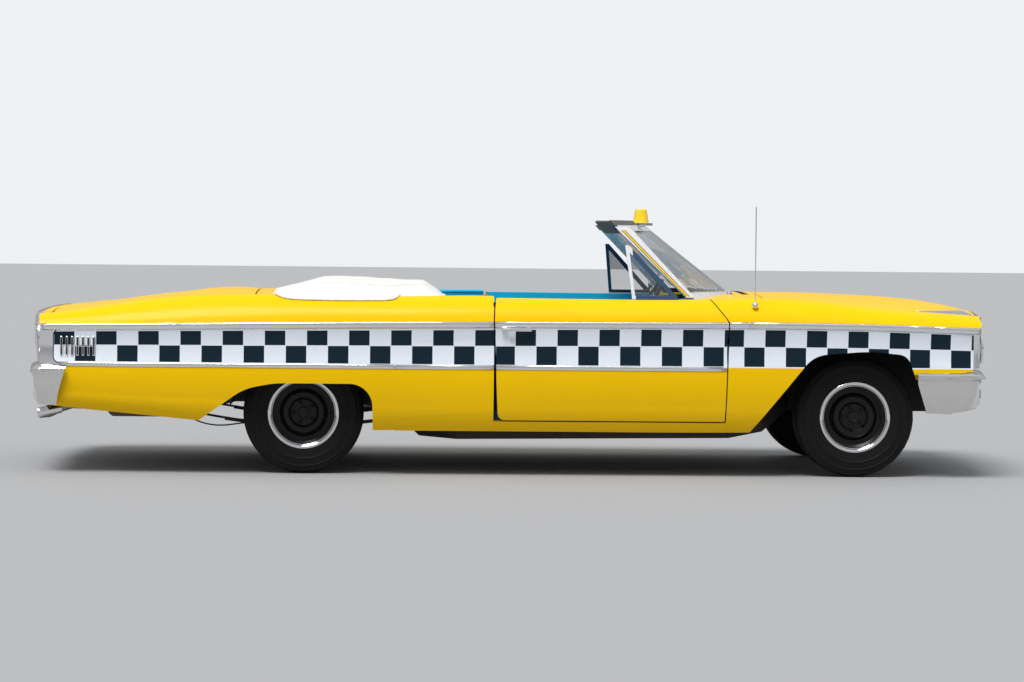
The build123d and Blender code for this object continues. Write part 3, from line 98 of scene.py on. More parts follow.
class CabPaint(bpy.types.PropertyGroup):
    yellow: bpy.props.FloatVectorProperty(
        name="Body yellow", description="Enamel of the body", subtype="COLOR", size=4,
        default=(0.94, 0.565, 0.0, 1))
    pale: bpy.props.FloatVectorProperty(
        name="Pale square", description="Light squares of the side band", subtype="COLOR", size=4,
        default=(0.80, 0.85, 0.92, 1))
    dark: bpy.props.FloatVectorProperty(
        name="Dark square", description="Dark squares of the side band", subtype="COLOR", size=4,
        default=(0.008, 0.020, 0.032, 1))
    square: bpy.props.FloatProperty(
        name="Square", description="Length of one square along the side", unit="LENGTH", default=0.1137)
    phase: bpy.props.FloatProperty(
        name="First square", description="Where a dark upper square starts", unit="LENGTH", default=0.0105)


class CabTrim(bpy.types.PropertyGroup):
    turquoise: bpy.props.FloatVectorProperty(
        name="Turquoise", description="Seats, door linings and dashboard", subtype="COLOR", size=4,
        default=(0.016, 0.46, 0.72, 1))
    navy: bpy.props.FloatVectorProperty(
        name="Navy", description="Inner face of the windshield and vent frames", subtype="COLOR", size=4,
        default=(0.008, 0.042, 0.105, 1))
    moulding_rise: bpy.props.FloatProperty(
        name="Moulding rise", description="How far the mouldings stand out", unit="LENGTH", default=0.006)
    ring_width: bpy.props.FloatProperty(
        name="Trim ring", description="Width of the bright ring on each wheel", unit="LENGTH", default=0.020)


class CabCloth(bpy.types.PropertyGroup):
    cover: bpy.props.FloatVectorProperty(
        name="Boot cover", description="Vinyl over the folded top", subtype="COLOR", size=4,
        default=(0.87, 0.85, 0.81, 1))
    pleat: bpy.props.FloatProperty(
        name="Pleat", description="Distance between the seats' sewn pleats", unit="LENGTH", default=0.078)
    voxel: bpy.props.FloatProperty(
        name="Cushion mesh", description="Size of the mesh that is blown up as cloth", unit="LENGTH",
        default=0.014)
    pressure: bpy.props.FloatProperty(name="Filling", description="Pressure inside each cushion", default=4.0)


class CabStage(bpy.types.PropertyGroup):
    floor: bpy.props.FloatVectorProperty(
        name="Floor", description="Colour of the floor", subtype="COLOR", size=4,
        default=(0.36, 0.36, 0.365, 1))
    sun: bpy.props.FloatProperty(name="Key light", description="Strength of the soft key light", default=2.9)
    sky: bpy.props.FloatProperty(name="Fill light", description="Strength of the even light", default=0.80)
    lens: bpy.props.FloatProperty(name="Lens", description="Focal length in millimetres", default=112.18)


# Materials


class Wire:
    """A value in a material, so that its shader sums are written as sums."""

    def __init__(self, finish, socket):
        self.finish, self.socket = finish, socket

    def sum(self, operation, *values):
        return self.finish.node("ShaderNodeMath", {"operation": operation}, dict(enumerate(values)))

    def __add__(self, other):
        return self.sum("ADD", self, other)

    def __radd__(self, other):
        return self.sum("ADD", other, self)

    def __sub__(self, other):
        return self.sum("SUBTRACT", self, other)

    def __rsub__(self, other):
        return self.sum("SUBTRACT", other, self)

    def __mul__(self, other):
        return self.sum("MULTIPLY", self, other)

    def __rmul__(self, other):
        return self.sum("MULTIPLY", other, self)

    def __truediv__(self, other):
        return self.sum("DIVIDE", self, other)

    def __pow__(self, other):
        return self.sum("POWER", self, other)

    def __gt__(self, other):
        return self.sum("GREATER_THAN", self, other)

    def __lt__(self, other):
        return self.sum("LESS_THAN", self, other)

    def __abs__(self):
        return self.sum("ABSOLUTE", self)

    def least(self, other):
        return self.sum("MINIMUM", self, other)

    def most(self, other):
        return self.sum("MAXIMUM", self, other)

    def fraction(self):
        return self.sum("FRACT", self)

    def sine(self):
        return self.sum("SINE", self)


class Shader:
    """A tree of shader nodes, with one method for any node."""

    def __init__(self, tree):
        self.tree = tree

    def node(self, kind, settings=None, inputs=None, output=0):
        """Adds a node, sets it, then gives its sockets values or links, and returns one of its outputs."""
        made = self.tree.nodes.new(kind)
        for key, value in (settings or {}).items():
            if key == "stops":
                ramp = made.color_ramp
                while len(ramp.elements) < len(value):
                    ramp.elements.new(1.0)
                for stop, (place, shade) in zip(ramp.elements, value):
                    stop.position, stop.color = place, shade
            else:
                setattr(made, key, value)
        for key, value in (inputs or {}).items():
            self.plug(made.inputs[key], value)
        return Wire(self, made.outputs[output])

    def plug(self, socket, value):
        """Gives a socket a value, or a link if the value comes from another node."""
        if isinstance(value, Wire):
            self.tree.links.new(value.socket, socket)
        else:
            socket.default_value = value


class Finish(Shader):
    """A material on a Principled surface, with its point of the cab in here, x, y and z."""

    def __init__(self, name, **constants):
        self.material = bpy.data.materials.new(name)
        self.material.use_nodes = True
        super().__init__(self.material.node_tree)
        self.surface = self.tree.nodes["Principled BSDF"]
        for key, value in constants.items():
            self.surface.inputs[key.replace("_", " ").title().replace("Ior", "IOR")].default_value = value
        self.here = self.node("ShaderNodeTexCoord", output="Object")
        self.x, self.y, self.z = (self.node("ShaderNodeSeparateXYZ", None, {0: self.here}, k)
                                  for k in range(3))

    def turned(self, axis):
        """How far the surface faces along an axis, from -1 to 1."""
        normal = self.node("ShaderNodeNewGeometry", output="Normal")
        return self.node("ShaderNodeSeparateXYZ", None, {0: normal}, axis)

    def wear(self, scale, detail=4.0):
        """Soft noise from 0 to 1, scale spots to the metre."""
        return self.node("ShaderNodeTexNoise", None, {"Vector": self.here, "Scale": scale, "Detail": detail})

    def spots(self, scale, low, high, detail=4.0):
        """Noise turned into patches, 0 below low and 1 above high."""
        return self.span(self.wear(scale, detail), low, high)

    def span(self, value, low, high):
        """A soft step of a value from 0 at low to 1 at high."""
        return self.node("ShaderNodeMapRange", {"interpolation_type": "SMOOTHSTEP"},
                         {0: value, 1: low, 2: high, 3: 0.0, 4: 1.0})

    def colours(self, mask, first, second):
        """The first colour where the mask is 0 and the second where it is 1."""
        return self.node("ShaderNodeMix", {"data_type": "RGBA"}, {0: mask, 6: first, 7: second}, 2)

    def bump(self, height, strength, distance=0.001):
        return self.node("ShaderNodeBump", None,
                         {"Strength": strength, "Distance": distance, "Height": height})

    def give(self, **sockets):
        """Feeds the surface's sockets and returns the material."""
        for key, value in sockets.items():
            self.plug(self.surface.inputs[key.replace("_", " ").title()], value)
        return self.material


def darker(colour, share):
    """A share of a colour's light."""
    return (colour[0] * share, colour[1] * share, colour[2] * share, 1)


def dusted(finish, colour, dust, low=0.25, high=0.55, most=0.3):
    """A colour with road dust that fades out with height."""
    film = (1 - finish.span(finish.z, low, high)) * finish.wear(6.0) * most
    return finish.colours(film, colour, dust)


def enamel(name, cab):
    """Gloss enamel: a slow drift of shade, fine waviness in the clear coat, dust low down."""
    paint = cab.paint
    finish = Finish(name, specular_ior_level=0.07, coat_weight=0.06, coat_roughness=0.07, coat_ior=1.5)
    tone = finish.colours(finish.wear(1.6, 2.0), tuple(paint.yellow), darker(paint.yellow, 0.93))
    base = dusted(finish, tone, (0.42, 0.29, 0.10, 1), most=0.10)
    ripple = finish.bump(finish.wear(260.0, 2.0), 0.05, 0.0004)
    finish.give(base_color=base, roughness=finish.wear(14.0) * 0.08 + 0.30, normal=ripple)
    return finish, base


def lined_enamel(cab):
    """Enamel outside, and the lining's colour where the cowl faces the cabin."""
    finish, base = enamel("Cowl enamel", cab)
    cabin_front, belt = 1.31, 0.957
    lined = (finish.turned(0) < -0.2) * (finish.x < cabin_front) * (finish.z < belt)
    return finish.give(base_color=finish.colours(lined, base, darker(cab.trim.turquoise, 0.5)))


# The band of squares: how far its top lies under the moulding's line, the height that its middle is taken
# from, the gaps behind and ahead of the door, and how far the squares are moved beyond each gap
BAND_DROP, BAND_FOOT = 0.036, 0.617
REAR_GAP, FRONT_GAP = -0.06, 1.231
REAR_SHIFT, FRONT_SHIFT = 0.0085, 0.005
# The bright cap behind the band: where it starts, the band's rounded end, and the ring of painted groove
# shade round that end
CAP_START, CAP_FOOT = -2.440, 0.578
CORNER_START, CORNER_RADIUS, GROOVE_SHADE_RADIUS, CORNER_INSET = -2.452, 0.030, 0.0355, 0.026


def mould_line(finish):
    """The upper moulding's line as a value, which works because the line bulges upwards."""
    top = None
    for (a, u), (b, v) in zip(MOULD_LINE, MOULD_LINE[1:]):
        slope = (v - u) / (b - a)
        line = finish.x * slope + (u - a * slope)
        top = line if top is None else top.least(line)
    return top


def dark_squares(finish, top, paint):
    """A mask of the dark squares, which leaves thin pale joints between them."""
    x, z = finish.x, finish.z
    middle = (top - BAND_DROP) * 0.5 + BAND_FOOT / 2
    cell = (x - (x < REAR_GAP) * REAR_SHIFT + (x > FRONT_GAP) * FRONT_SHIFT - paint.phase) / paint.square
    share = cell.fraction()
    even = (cell * 0.5).fraction() < 0.5
    swapped = abs(even - (z > middle))
    joints = (share.least(1 - share) > 0.014) * (abs(z - middle) > 0.0016)
    return (1 - swapped) * joints * (z < top - 0.0415) * (z > LOW_TOP + 0.0025)


def chequers(cab):
    """The body sides: enamel, the two rows of squares, the bright rear cap with a ring of painted shade in
    its groove, and the door lining.
    """
    paint, trim = cab.paint, cab.trim
    finish, base = enamel("Chequered enamel", cab)
    x, z, side = finish.x, finish.z, abs(finish.y)
    top = mould_line(finish)
    squares = finish.colours(dark_squares(finish, top, paint), tuple(paint.pale), tuple(paint.dark))
    band_top = top - BAND_DROP
    corner_x = (CORNER_START - x).most(0.0)
    corner_z = (abs(z - (band_top + LOW_TOP) * 0.5) - ((band_top - LOW_TOP) * 0.5 - CORNER_INSET)).most(0.0)
    outside = (corner_x * corner_x + corner_z * corner_z) ** 0.5
    inside = (outside < CORNER_RADIUS) * (z > LOW_TOP - 0.004) * (z < top) * (side > 0.90)
    # A near-black ring round the band's rounded end: painted shade of the groove between band and cap.
    groove_shade = (outside > CORNER_RADIUS) * (outside < GROOVE_SHADE_RADIUS)
    cap = (x < CAP_START) * (z > CAP_FOOT) * (z < top) * (side > 0.86) * (1 - inside)
    faces_in = (side < DOOR_INNER + 0.0015) * (finish.turned(1) * finish.y < -0.3)
    door_top = (z > 0.955) * (side < 0.862)
    lining = faces_in.most(door_top) * (x > -0.66) * (x < 1.12) * (z > 0.33)
    skin = finish.colours(inside, base, squares)
    skin = finish.colours(cap, skin, (0.80, 0.80, 0.82, 1))
    skin = finish.colours(cap * groove_shade, skin, (0.02, 0.02, 0.02, 1))
    grain = finish.node("ShaderNodeTexVoronoi", None, {"Vector": finish.here, "Scale": 520.0})
    cloth = finish.colours(finish.wear(3.0), tuple(trim.turquoise), darker(trim.turquoise, 0.86))
    skin = finish.colours(lining, skin, cloth)
    bump = finish.bump(finish.wear(260.0, 2.0) * (1 - lining) + grain * lining * 0.9, 0.06, 0.0005)
    rough = finish.wear(14.0) * 0.08 + 0.28 + lining * 0.2 - cap * 0.16
    return finish.give(base_color=skin, metallic=cap * (1 - groove_shade), roughness=rough, normal=bump,
                       coat_weight=0.06 - lining * 0.05)


def bright(name, colour, rough, pits=0.0):
    """Plated or bare metal, with faint smears and, on the bumpers, pits and a little haze low down."""
    finish = Finish(name, metallic=1.0)
    haze = finish.spots(9.0, 0.45, 0.75)
    tone = finish.colours(haze * 0.22, colour, darker(colour, 0.78))
    height = finish.wear(900.0, 2.0)
    if pits:
        speck = finish.spots(160.0, 0.66, 0.72, 2.0) * (1 - finish.span(finish.z, 0.3, 0.62))
        tone = finish.colours(speck * pits, tone, (0.22, 0.15, 0.10, 1))
        height = height - speck * 2.0
        rough = speck * 0.4 + haze * 0.05 + rough
    else:
        rough = haze * 0.06 + rough
    return finish.give(base_color=tone, roughness=rough, normal=finish.bump(height, 0.03, 0.0003))


def satin(name, colour, rough=0.5, scale=30.0, dust=(0.20, 0.16, 0.12, 1), most=0.4, depth=0.08):
    """Painted or moulded parts: patchy sheen, fine grain and dust towards the ground."""
    finish = Finish(name, specular_ior_level=0.25)
    tone = finish.colours(finish.wear(scale * 0.3), colour, darker(colour, 0.75))
    return finish.give(base_color=dusted(finish, tone, dust, 0.1, 0.7, most),
                       roughness=finish.wear(scale) * 0.22 + (rough - 0.11),
                       normal=finish.bump(finish.wear(scale * 18, 3.0), depth, 0.0006))


def glass(name, colour, rough=0.0, ribs=None, weight=1.0):
    """Clear or tinted glass, with ribs moulded across it where it is a lamp's."""
    finish = Finish(name, roughness=rough, ior=1.5, transmission_weight=weight)
    film = finish.spots(5.0, 0.5, 0.9)
    sockets = {"base_color": finish.colours(film * 0.15, colour, darker(colour, 0.85)),
               "roughness": film * 0.01 + rough}
    if ribs:
        axis, pitch = ribs
        wave = (getattr(finish, axis) * (2 * math.pi / pitch)).sine()
        sockets["normal"] = finish.bump(wave * 0.5 + 0.5, 0.55, 0.0015)
    return finish.give(**sockets)


def radius_about_axle(finish):
    """The distance and the angle of a point from the axle that is nearer to it."""
    front = finish.x > (FRONT_AXLE + REAR_AXLE) / 2
    dx = finish.x - (front * (FRONT_AXLE - REAR_AXLE) + REAR_AXLE)
    dz = finish.z - AXLE_HEIGHT
    return (dx * dx + dz * dz) ** 0.5, dz.sum("ARCTAN2", dz, dx)


def tyre_rubber():
    """Tyre rubber: fine rings and bars on the side, and dust towards the tread."""
    finish = Finish("Tyre rubber", specular_ior_level=0.16)
    radius, turn = radius_about_axle(finish)
    rings = finish.span(abs(radius - 0.246), 0.0015, 0.0035) * finish.span(abs(radius - 0.286), 0.001, 0.003)
    bars = (turn * 84).sine() * (radius > 0.291) * (radius < 0.316)
    relief = bars * 0.5 + (1 - rings) * 1.5 + finish.wear(240.0) * 0.4
    dust = finish.span(radius, 0.27, 0.33) * finish.wear(22.0)
    tone = finish.colours(dust * 0.25, (0.006, 0.006, 0.0065, 1), (0.06, 0.053, 0.045, 1))
    return finish.give(base_color=tone, roughness=dust * 0.2 + 0.56,
                       normal=finish.bump(relief, 0.5, 0.0012))


def vinyl(name, colour, scale, rough):
    """Seat and cover vinyl: grain cells, creases, and darker patches of painted shade."""
    finish = Finish(name, sheen_weight=0.15, sheen_roughness=0.5)
    cells = finish.node("ShaderNodeTexVoronoi", {"feature": "DISTANCE_TO_EDGE"},
                        {"Vector": finish.here, "Scale": scale})
    crease = finish.node("ShaderNodeTexNoise", {"noise_type": "RIDGED_MULTIFRACTAL"},
                         {"Vector": finish.here, "Scale": 11.0, "Detail": 5.0})
    tone = finish.colours(finish.wear(2.4), colour, darker(colour, 0.88))
    # Darker noise patches, down to 0.62 of the colour: painted shade.
    tone = finish.colours(finish.spots(34.0, 0.62, 0.78) * 0.25, tone, darker(colour, 0.62))
    return finish.give(base_color=tone, roughness=rough + finish.wear(20.0) * 0.12,
                       normal=finish.bump(cells.least(0.08) * 6.0 + crease * 0.25, 0.35, 0.0009))


def frame_metal(cab):
    """The windshield frame: bright outside, with the body-coloured strip on its pillars edged by painted
    shade lines, navy inside.
    """
    finish = Finish("Windshield frame")
    x, z, side = finish.x, finish.z, abs(finish.y)
    foot_x, foot_z, across_x, across_z = 0.950, 0.980, 0.7197, 0.6943
    behind = (x - foot_x) * across_x + (z - foot_z) * across_z
    post = (side > 0.60) * (z < 1.345) * (z > 0.985) * (finish.turned(1) * finish.y > 0.2)
    strip = (behind > 0.005) * (behind < 0.0135) * post
    # Near-black lines along both edges of the strip: painted shade in the seams.
    seam = (abs(behind - 0.003) < 0.002).most(abs(behind - 0.0155) < 0.002) * post
    inner = (finish.turned(0) < -0.35) * (1 - strip)
    tone = finish.colours(finish.wear(12.0), (0.82, 0.82, 0.83, 1), (0.70, 0.70, 0.72, 1))
    tone = finish.colours(inner, tone, tuple(cab.trim.navy))
    tone = finish.colours(strip, tone, tuple(cab.paint.yellow))
    tone = finish.colours(seam, tone, (0.015, 0.015, 0.015, 1))
    return finish.give(base_color=tone, metallic=(1 - strip) * (1 - inner) * (1 - seam) * 0.4,
                       roughness=finish.wear(40.0) * 0.1 + 0.22,
                       normal=finish.bump(finish.wear(90.0), 0.03, 0.0003))


def vent_metal(cab):
    """The vent window's frame: bright to the road, navy to the cabin."""
    finish = Finish("Vent frame")
    middle = (finish.z - 0.972) * (-0.3935) + 0.885
    outer = abs(finish.y) > middle - 0.003
    post = finish.x < 0.672 - (finish.z - 0.966) * 0.05
    tone = finish.colours(outer * post, tuple(cab.trim.navy), (0.74, 0.74, 0.76, 1))
    return finish.give(base_color=tone, metallic=outer * post * 0.9, roughness=finish.wear(60.0) * 0.1 + 0.25,
                       normal=finish.bump(finish.wear(500.0), 0.04, 0.0003))


def carpeted(cab):
    """The floor pan: looped carpet where feet rest, painted steel below and in the trunk."""
    finish = Finish("Floor carpet")
    cabin = (finish.turned(2) > 0.1) * (finish.x > -0.62) * (finish.x < 1.27)
    loops = finish.node("ShaderNodeTexVoronoi", None, {"Vector": finish.here, "Scale": 260.0})
    tone = finish.colours(loops.least(1.0), (0.02, 0.17, 0.25, 1), (0.008, 0.07, 0.11, 1))
    tone = finish.colours(cabin, (0.02, 0.02, 0.021, 1), tone)
    return finish.give(base_color=tone, roughness=cabin * 0.4 + 0.5, normal=finish.bump(loops, 0.6, 0.002))


def lit_plastic(name, colour, glow, ribs):
    """The beacon's ribbed dome, lit a little from inside."""
    beacon_x = 0.767
    finish = Finish(name, roughness=0.18, coat_weight=0.6, subsurface_weight=0.15, emission_strength=glow)
    angle = finish.y.sum("ARCTAN2", finish.y, finish.x - beacon_x)
    wave = (angle * ribs).sine()
    tone = finish.colours(finish.wear(18.0), colour, darker(colour, 0.86))
    return finish.give(base_color=tone, emission_color=tone, normal=finish.bump(wave * 0.5 + 0.5, 0.5, 0.002))


def mix_finishes(cab):
    """Makes every finish and marks it with its key."""
    made = {
        "enamel": enamel("Yellow enamel", cab)[0].material,
        "chequers": chequers(cab),
        "chrome": bright("Chrome plate", (0.80, 0.80, 0.81, 1), 0.07),
        "moulding": bright("Bright moulding", (0.86, 0.86, 0.86, 1), 0.19),
        "cowl": lined_enamel(cab),
        "bumper": bright("Bumper chrome", (0.74, 0.73, 0.72, 1), 0.10, 0.8),
        "steel": bright("Worn steel", (0.30, 0.29, 0.28, 1), 0.38),
        "alloy": bright("Satin aluminium", (0.66, 0.66, 0.68, 1), 0.26),
        "frame": frame_metal(cab),
        "vent": vent_metal(cab),
        "glass": glass("Window glass", (0.97, 0.985, 0.98, 1)),
        "lamp": glass("Lamp glass", (0.93, 0.95, 0.97, 1), 0.05, ("y", 0.012), 0.75),
        "red": glass("Red lens", (0.55, 0.012, 0.01, 1), 0.12, ("z", 0.010), 0.35),
        "amber": glass("Amber lens", (0.85, 0.33, 0.02, 1), 0.12, ("z", 0.010), 0.35),
        "black": satin("Chassis black", (0.014, 0.014, 0.015, 1), 0.55, most=0.22),
        "gloss_black": satin("Wheel enamel", (0.006, 0.0065, 0.008, 1), 0.30, 20.0, most=0.05),
        "engine": satin("Engine enamel", (0.03, 0.06, 0.085, 1), 0.6, 24.0),
        "tank": satin("Zinc sheet", (0.18, 0.18, 0.18, 1), 0.5, 12.0),
        "tyre": tyre_rubber(),
        "rubber": satin("Seal rubber", (0.012, 0.012, 0.012, 1), 0.62, 60.0, depth=0.2),
        "lining": satin("Turquoise enamel", tuple(cab.trim.turquoise), 0.34, 40.0, most=0.05),
        "navy": satin("Navy plastic", (0.008, 0.022, 0.045, 1), 0.25, 30.0, most=0.05),
        "vinyl": vinyl("Seat vinyl", tuple(cab.trim.turquoise), 420.0, 0.36),
        "pale_vinyl": vinyl("Piping vinyl", (0.72, 0.80, 0.80, 1), 420.0, 0.34),
        "cover": vinyl("Cover vinyl", tuple(cab.cloth.cover), 620.0, 0.55),
        "visor": vinyl("Visor board", (0.055, 0.050, 0.046, 1), 300.0, 0.6),
        "carpet": carpeted(cab),
        "dome": lit_plastic("Beacon dome", (0.95, 0.66, 0.01, 1), 0.15, 36),
        "dial": satin("Dial face", (0.012, 0.012, 0.014, 1), 0.4, 80.0, most=0.0),
        "mirror": bright("Mirror glass", (0.9, 0.91, 0.92, 1), 0.02),
        "plate": satin("Blank plate", (0.75, 0.76, 0.74, 1), 0.4, 60.0, most=0.1),
    }
    for key, material in made.items():
        material["cab_finish"] = key


def finish_of(key):
    """The material that mix_finishes marked with a key."""
    return next(m for m in bpy.data.materials if m.get("cab_finish") == key)


# Mesh helpers


def linked(name, bm):
    """Makes a bmesh an object in the scene."""
    mesh = bpy.data.meshes.new(name)
    bm.to_mesh(mesh)
    bm.free()
    made = bpy.data.objects.new(name, mesh)
    bpy.context.scene.collection.objects.link(made)
    return made


def piece(name, bm, finish, body, angle=38.0, modifiers=()):
    """Makes a bmesh an object that rides on a body, smooth except over sharp edges."""
    bmesh.ops.recalc_face_normals(bm, faces=bm.faces)
    made = linked(name, bm)
    made.data.shade_smooth()
    made.data.set_sharp_from_angle(angle=math.radians(angle))
    made.data.materials.append(finish_of(finish))
    for kind, settings in modifiers:
        modifier = made.modifiers.new(kind.title(), kind)
        for key, value in settings.items():
            setattr(modifier, key, value)
    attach(made, body)
    return made


def block(bm, centre, size, radius=0.003, segments=2, turn=None):
    """A block with rounded edges, turned if a matrix is given."""
    made = bmesh.ops.create_cube(bm, size=1.0)["verts"]
    bmesh.ops.scale(bm, vec=Vector(size), verts=made)
    edges = list({e for v in made for e in v.link_edges})
    out = bmesh.ops.bevel(bm, geom=edges, offset=radius, segments=segments, affect="EDGES", profile=0.5,
                          material=-1, clamp_overlap=True)
    verts = list({v for f in out["faces"] for v in f.verts})
    bmesh.ops.transform(bm, matrix=Matrix.Translation(Vector(centre)) @ (turn or Matrix()), verts=verts)


def facing(direction):
    """A turn that lays the z axis along a direction."""
    return Vector(direction).to_track_quat("Z", "Y").to_matrix().to_4x4()


def laid(spot, direction):
    """The z axis along a direction, starting from a spot."""
    return Matrix.Translation(Vector(spot)) @ facing(direction)


def tilted(angle):
    """A turn about the axis that points left."""
    return Matrix.Rotation(angle, 4, "Y")


def bar(bm, start, end, radius, radius_end=None, segments=12):
    """A round bar between two points, tapered if it has a second radius."""
    a, b = Vector(start), Vector(end)
    bmesh.ops.create_cone(bm, cap_ends=True, segments=segments, radius1=radius,
                          radius2=radius if radius_end is None else radius_end, depth=(b - a).length,
                          matrix=laid((a + b) / 2, b - a))


def ball(bm, centre, radius, segments=12):
    """A ball about a centre."""
    bmesh.ops.create_uvsphere(bm, u_segments=segments, v_segments=segments // 2 + 2, radius=radius,
                              matrix=Matrix.Translation(Vector(centre)))


def spun(bm, profile, place, steps=48, closed=True):
    """A profile of (radius, height) turned right round, laid by a matrix whose z axis is the axle."""
    before = set(bm.verts)
    verts = [bm.verts.new((r, 0.0, h)) for r, h in profile]
    edges = [bm.edges.new(pair) for pair in zip(verts, verts[1:])]
    if closed:
        edges.append(bm.edges.new((verts[-1], verts[0])))
    bmesh.ops.spin(bm, geom=verts + edges, cent=(0, 0, 0), axis=(0, 0, 1), angle=2 * math.pi, steps=steps,
                   use_merge=True)
    bmesh.ops.remove_doubles(bm, verts=[v for v in bm.verts if v not in before], dist=1e-6)
    bmesh.ops.transform(bm, matrix=place, verts=[v for v in bm.verts if v not in before])


def lofted(bm, rings):
    """A skin over closed rings of points, with a face over each end."""
    loops = []
    for ring in rings:
        verts = [bm.verts.new(point) for point in ring]
        loops.append([bm.edges.new(pair) for pair in zip(verts, verts[1:] + verts[:1])])
    for low, high in zip(loops, loops[1:]):
        bmesh.ops.bridge_loops(bm, edges=low + high)
    for loop in (loops[0], loops[-1]):
        bmesh.ops.contextual_create(bm, geom=loop)


def tube(bm, points, radius, segments=8):
    """A thin rod along points, with a ball at each bend."""
    for a, b in zip(points, points[1:]):
        bar(bm, a, b, radius, segments=segments)
    for p in points[1:-1]:
        ball(bm, p, radius, segments)


def merged(node):
    """A copy of a CAD node's mesh, its loose triangles joined."""
    bm = bmesh.new()
    bm.from_mesh(NODES[node].data)
    bmesh.ops.remove_doubles(bm, verts=bm.verts, dist=MERGE_REACH)
    return bm


def skin_of(node, keep):
    """A merged copy of a CAD node's mesh, with the faces whose middle and normal keep() wants."""
    bm = merged(node)
    bm.normal_update()
    lost = [f for f in bm.faces if not keep(f.calc_center_median(), f.normal)]
    bmesh.ops.delete(bm, geom=lost, context="FACES")
    return bm


def cut(bm, point, normal, away=False, reach=1e-5):
    """Cuts a mesh along a plane, and takes away the side that the normal points to if away is set."""
    bmesh.ops.bisect_plane(bm, geom=bm.verts[:] + bm.edges[:] + bm.faces[:], dist=reach, plane_co=point,
                           plane_no=normal, clear_outer=away)


def cut_away(bm, point, normal):
    """Removes what lies on the side that the normal points to."""
    cut(bm, point, normal, True, 1e-6)


class Skin:
    """Finds the surface of CAD nodes from outside."""

    def __init__(self, *names):
        bm = bmesh.new()
        for name in names:
            bm.from_mesh((bpy.data.objects.get("shaped_" + name) or NODES[name]).data)
        self.tree = BVHTree.FromBMesh(bm)
        bm.free()

    def hit(self, start, direction):
        """Where a line from outside meets the surface, and the surface's normal there."""
        place, normal, _, _ = self.tree.ray_cast(Vector(start), Vector(direction).normalized(), 5.0)
        if place is None:
            raise RuntimeError(f"nothing lies from {tuple(start)} along {tuple(direction)}")
        return place, normal

    def spot(self, start, direction):
        return self.hit(start, direction)[0]


def wheel_place(x, y, side):
    """Lays a profile's height along the axle, outwards."""
    return laid((x, y, AXLE_HEIGHT), (0, side, 0))


def ease(value, low, high):
    """A soft step from 0 at low to 1 at high."""
    share = min(1.0, max(0.0, (value - low) / (high - low)))
    return share * share * (3 - 2 * share)


# The cab's pieces


# Outward moves of each bumper's face by height: at the middle, at its corners, and of the sides inwards
FRONT_LIP = [(0.355, -0.012, -0.090, 0.050), (0.387, -0.012, -0.082, 0.040), (0.452, -0.012, -0.046, 0.022),
             (0.529, -0.012, -0.034, 0.016), (0.543, -0.011, -0.030, 0.015), (0.551, 0.0, 0.006, 0.0),
             (0.566, 0.0, -0.002, 0.002), (0.576, -0.004, -0.020, 0.008), (0.583, -0.012, -0.050, 0.018)]
REAR_LIP = [(0.371, -0.012, -0.041, 0.036), (0.430, -0.012, -0.026, 0.022), (0.486, -0.012, -0.014, 0.016),
            (0.538, -0.011, -0.010, 0.014), (0.548, 0.0, 0.006, 0.0), (0.566, 0.0, 0.0, 0.002),
            (0.580, -0.005, -0.018, 0.010), (0.592, -0.012, -0.034, 0.018)]
# Forward moves of the fender's tip by height, and upward moves of the tail pipe by x
TIP_LINE = [(0.600, -0.040), (0.800, -0.040), (0.814, -0.034), (0.828, -0.008), (0.846, 0.006),
            (0.870, -0.010), (0.894, -0.022)]
TAIL_PIPE_RISE = [(-2.575, -0.004), (-2.520, 0.0), (-2.455, 0.030), (-2.400, 0.046), (-2.250, 0.036),
                  (-1.620, 0.035), (-1.400, 0.0)]


def reshaped(node, finish, cuts, moved, below=None):
    """A copy of a CAD node, cut along planes and moved point by point, that is shown in its place.

    What lies ahead of below's x and under its z is left out."""
    bm = merged(node)
    for axis, places in cuts.items():
        normal = Vector([float(axis == letter) for letter in "xyz"])
        for place in places:
            cut(bm, normal * place, normal)
    if below:
        x, z = below
        lost = [f for f in bm.faces if f.calc_center_median().x > x and f.calc_center_median().z < z]
        bmesh.ops.delete(bm, geom=lost, context="FACES")
        bmesh.ops.holes_fill(bm, edges=[e for e in bm.edges if e.is_boundary], sides=0)
    for v in bm.verts:
        v.co = moved(v.co)
    made = piece("shaped_" + node, bm, finish, "body", 30,
                 (("WEIGHTED_NORMAL", {"keep_sharp": True, "weight": 80}),))
    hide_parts(node)


def bumper_move(co, way, table, start):
    """Where a bumper's point goes: way is 1 in front and -1 behind, and its face runs out from start."""
    middle, tip, wrap = (line_at(column(table, k), co.z) for k in (1, 2, 3))
    push = middle + (tip - middle) * ease(abs(co.y), 0.62, 0.95)
    back = 0.020 * ease(2.36 - way * co.x, 0.0, 0.12) * ease(abs(co.y), 0.90, 0.96)
    return Vector((co.x + way * (push * ease(way * co.x, start, start + 0.14) - back),
                   co.y - math.copysign(wrap * ease(abs(co.y), 0.90, 1.0), co.y), co.z))


def fender_move(co):
    """Where a front fender's point goes: its tip runs out to a point."""
    move = line_at(TIP_LINE, co.z) * ease(co.x, 2.40, 2.56) * ease(abs(co.y), 0.80, 0.93)
    return Vector((co.x + move, co.y, co.z))


def exhaust_move(co):
    """Where the exhaust's point goes: its tail pipe rises."""
    rise = line_at(TAIL_PIPE_RISE, co.x) if co.x < TAIL_PIPE_RISE[-1][0] else 0.0
    return co + Vector((0, 0, rise))


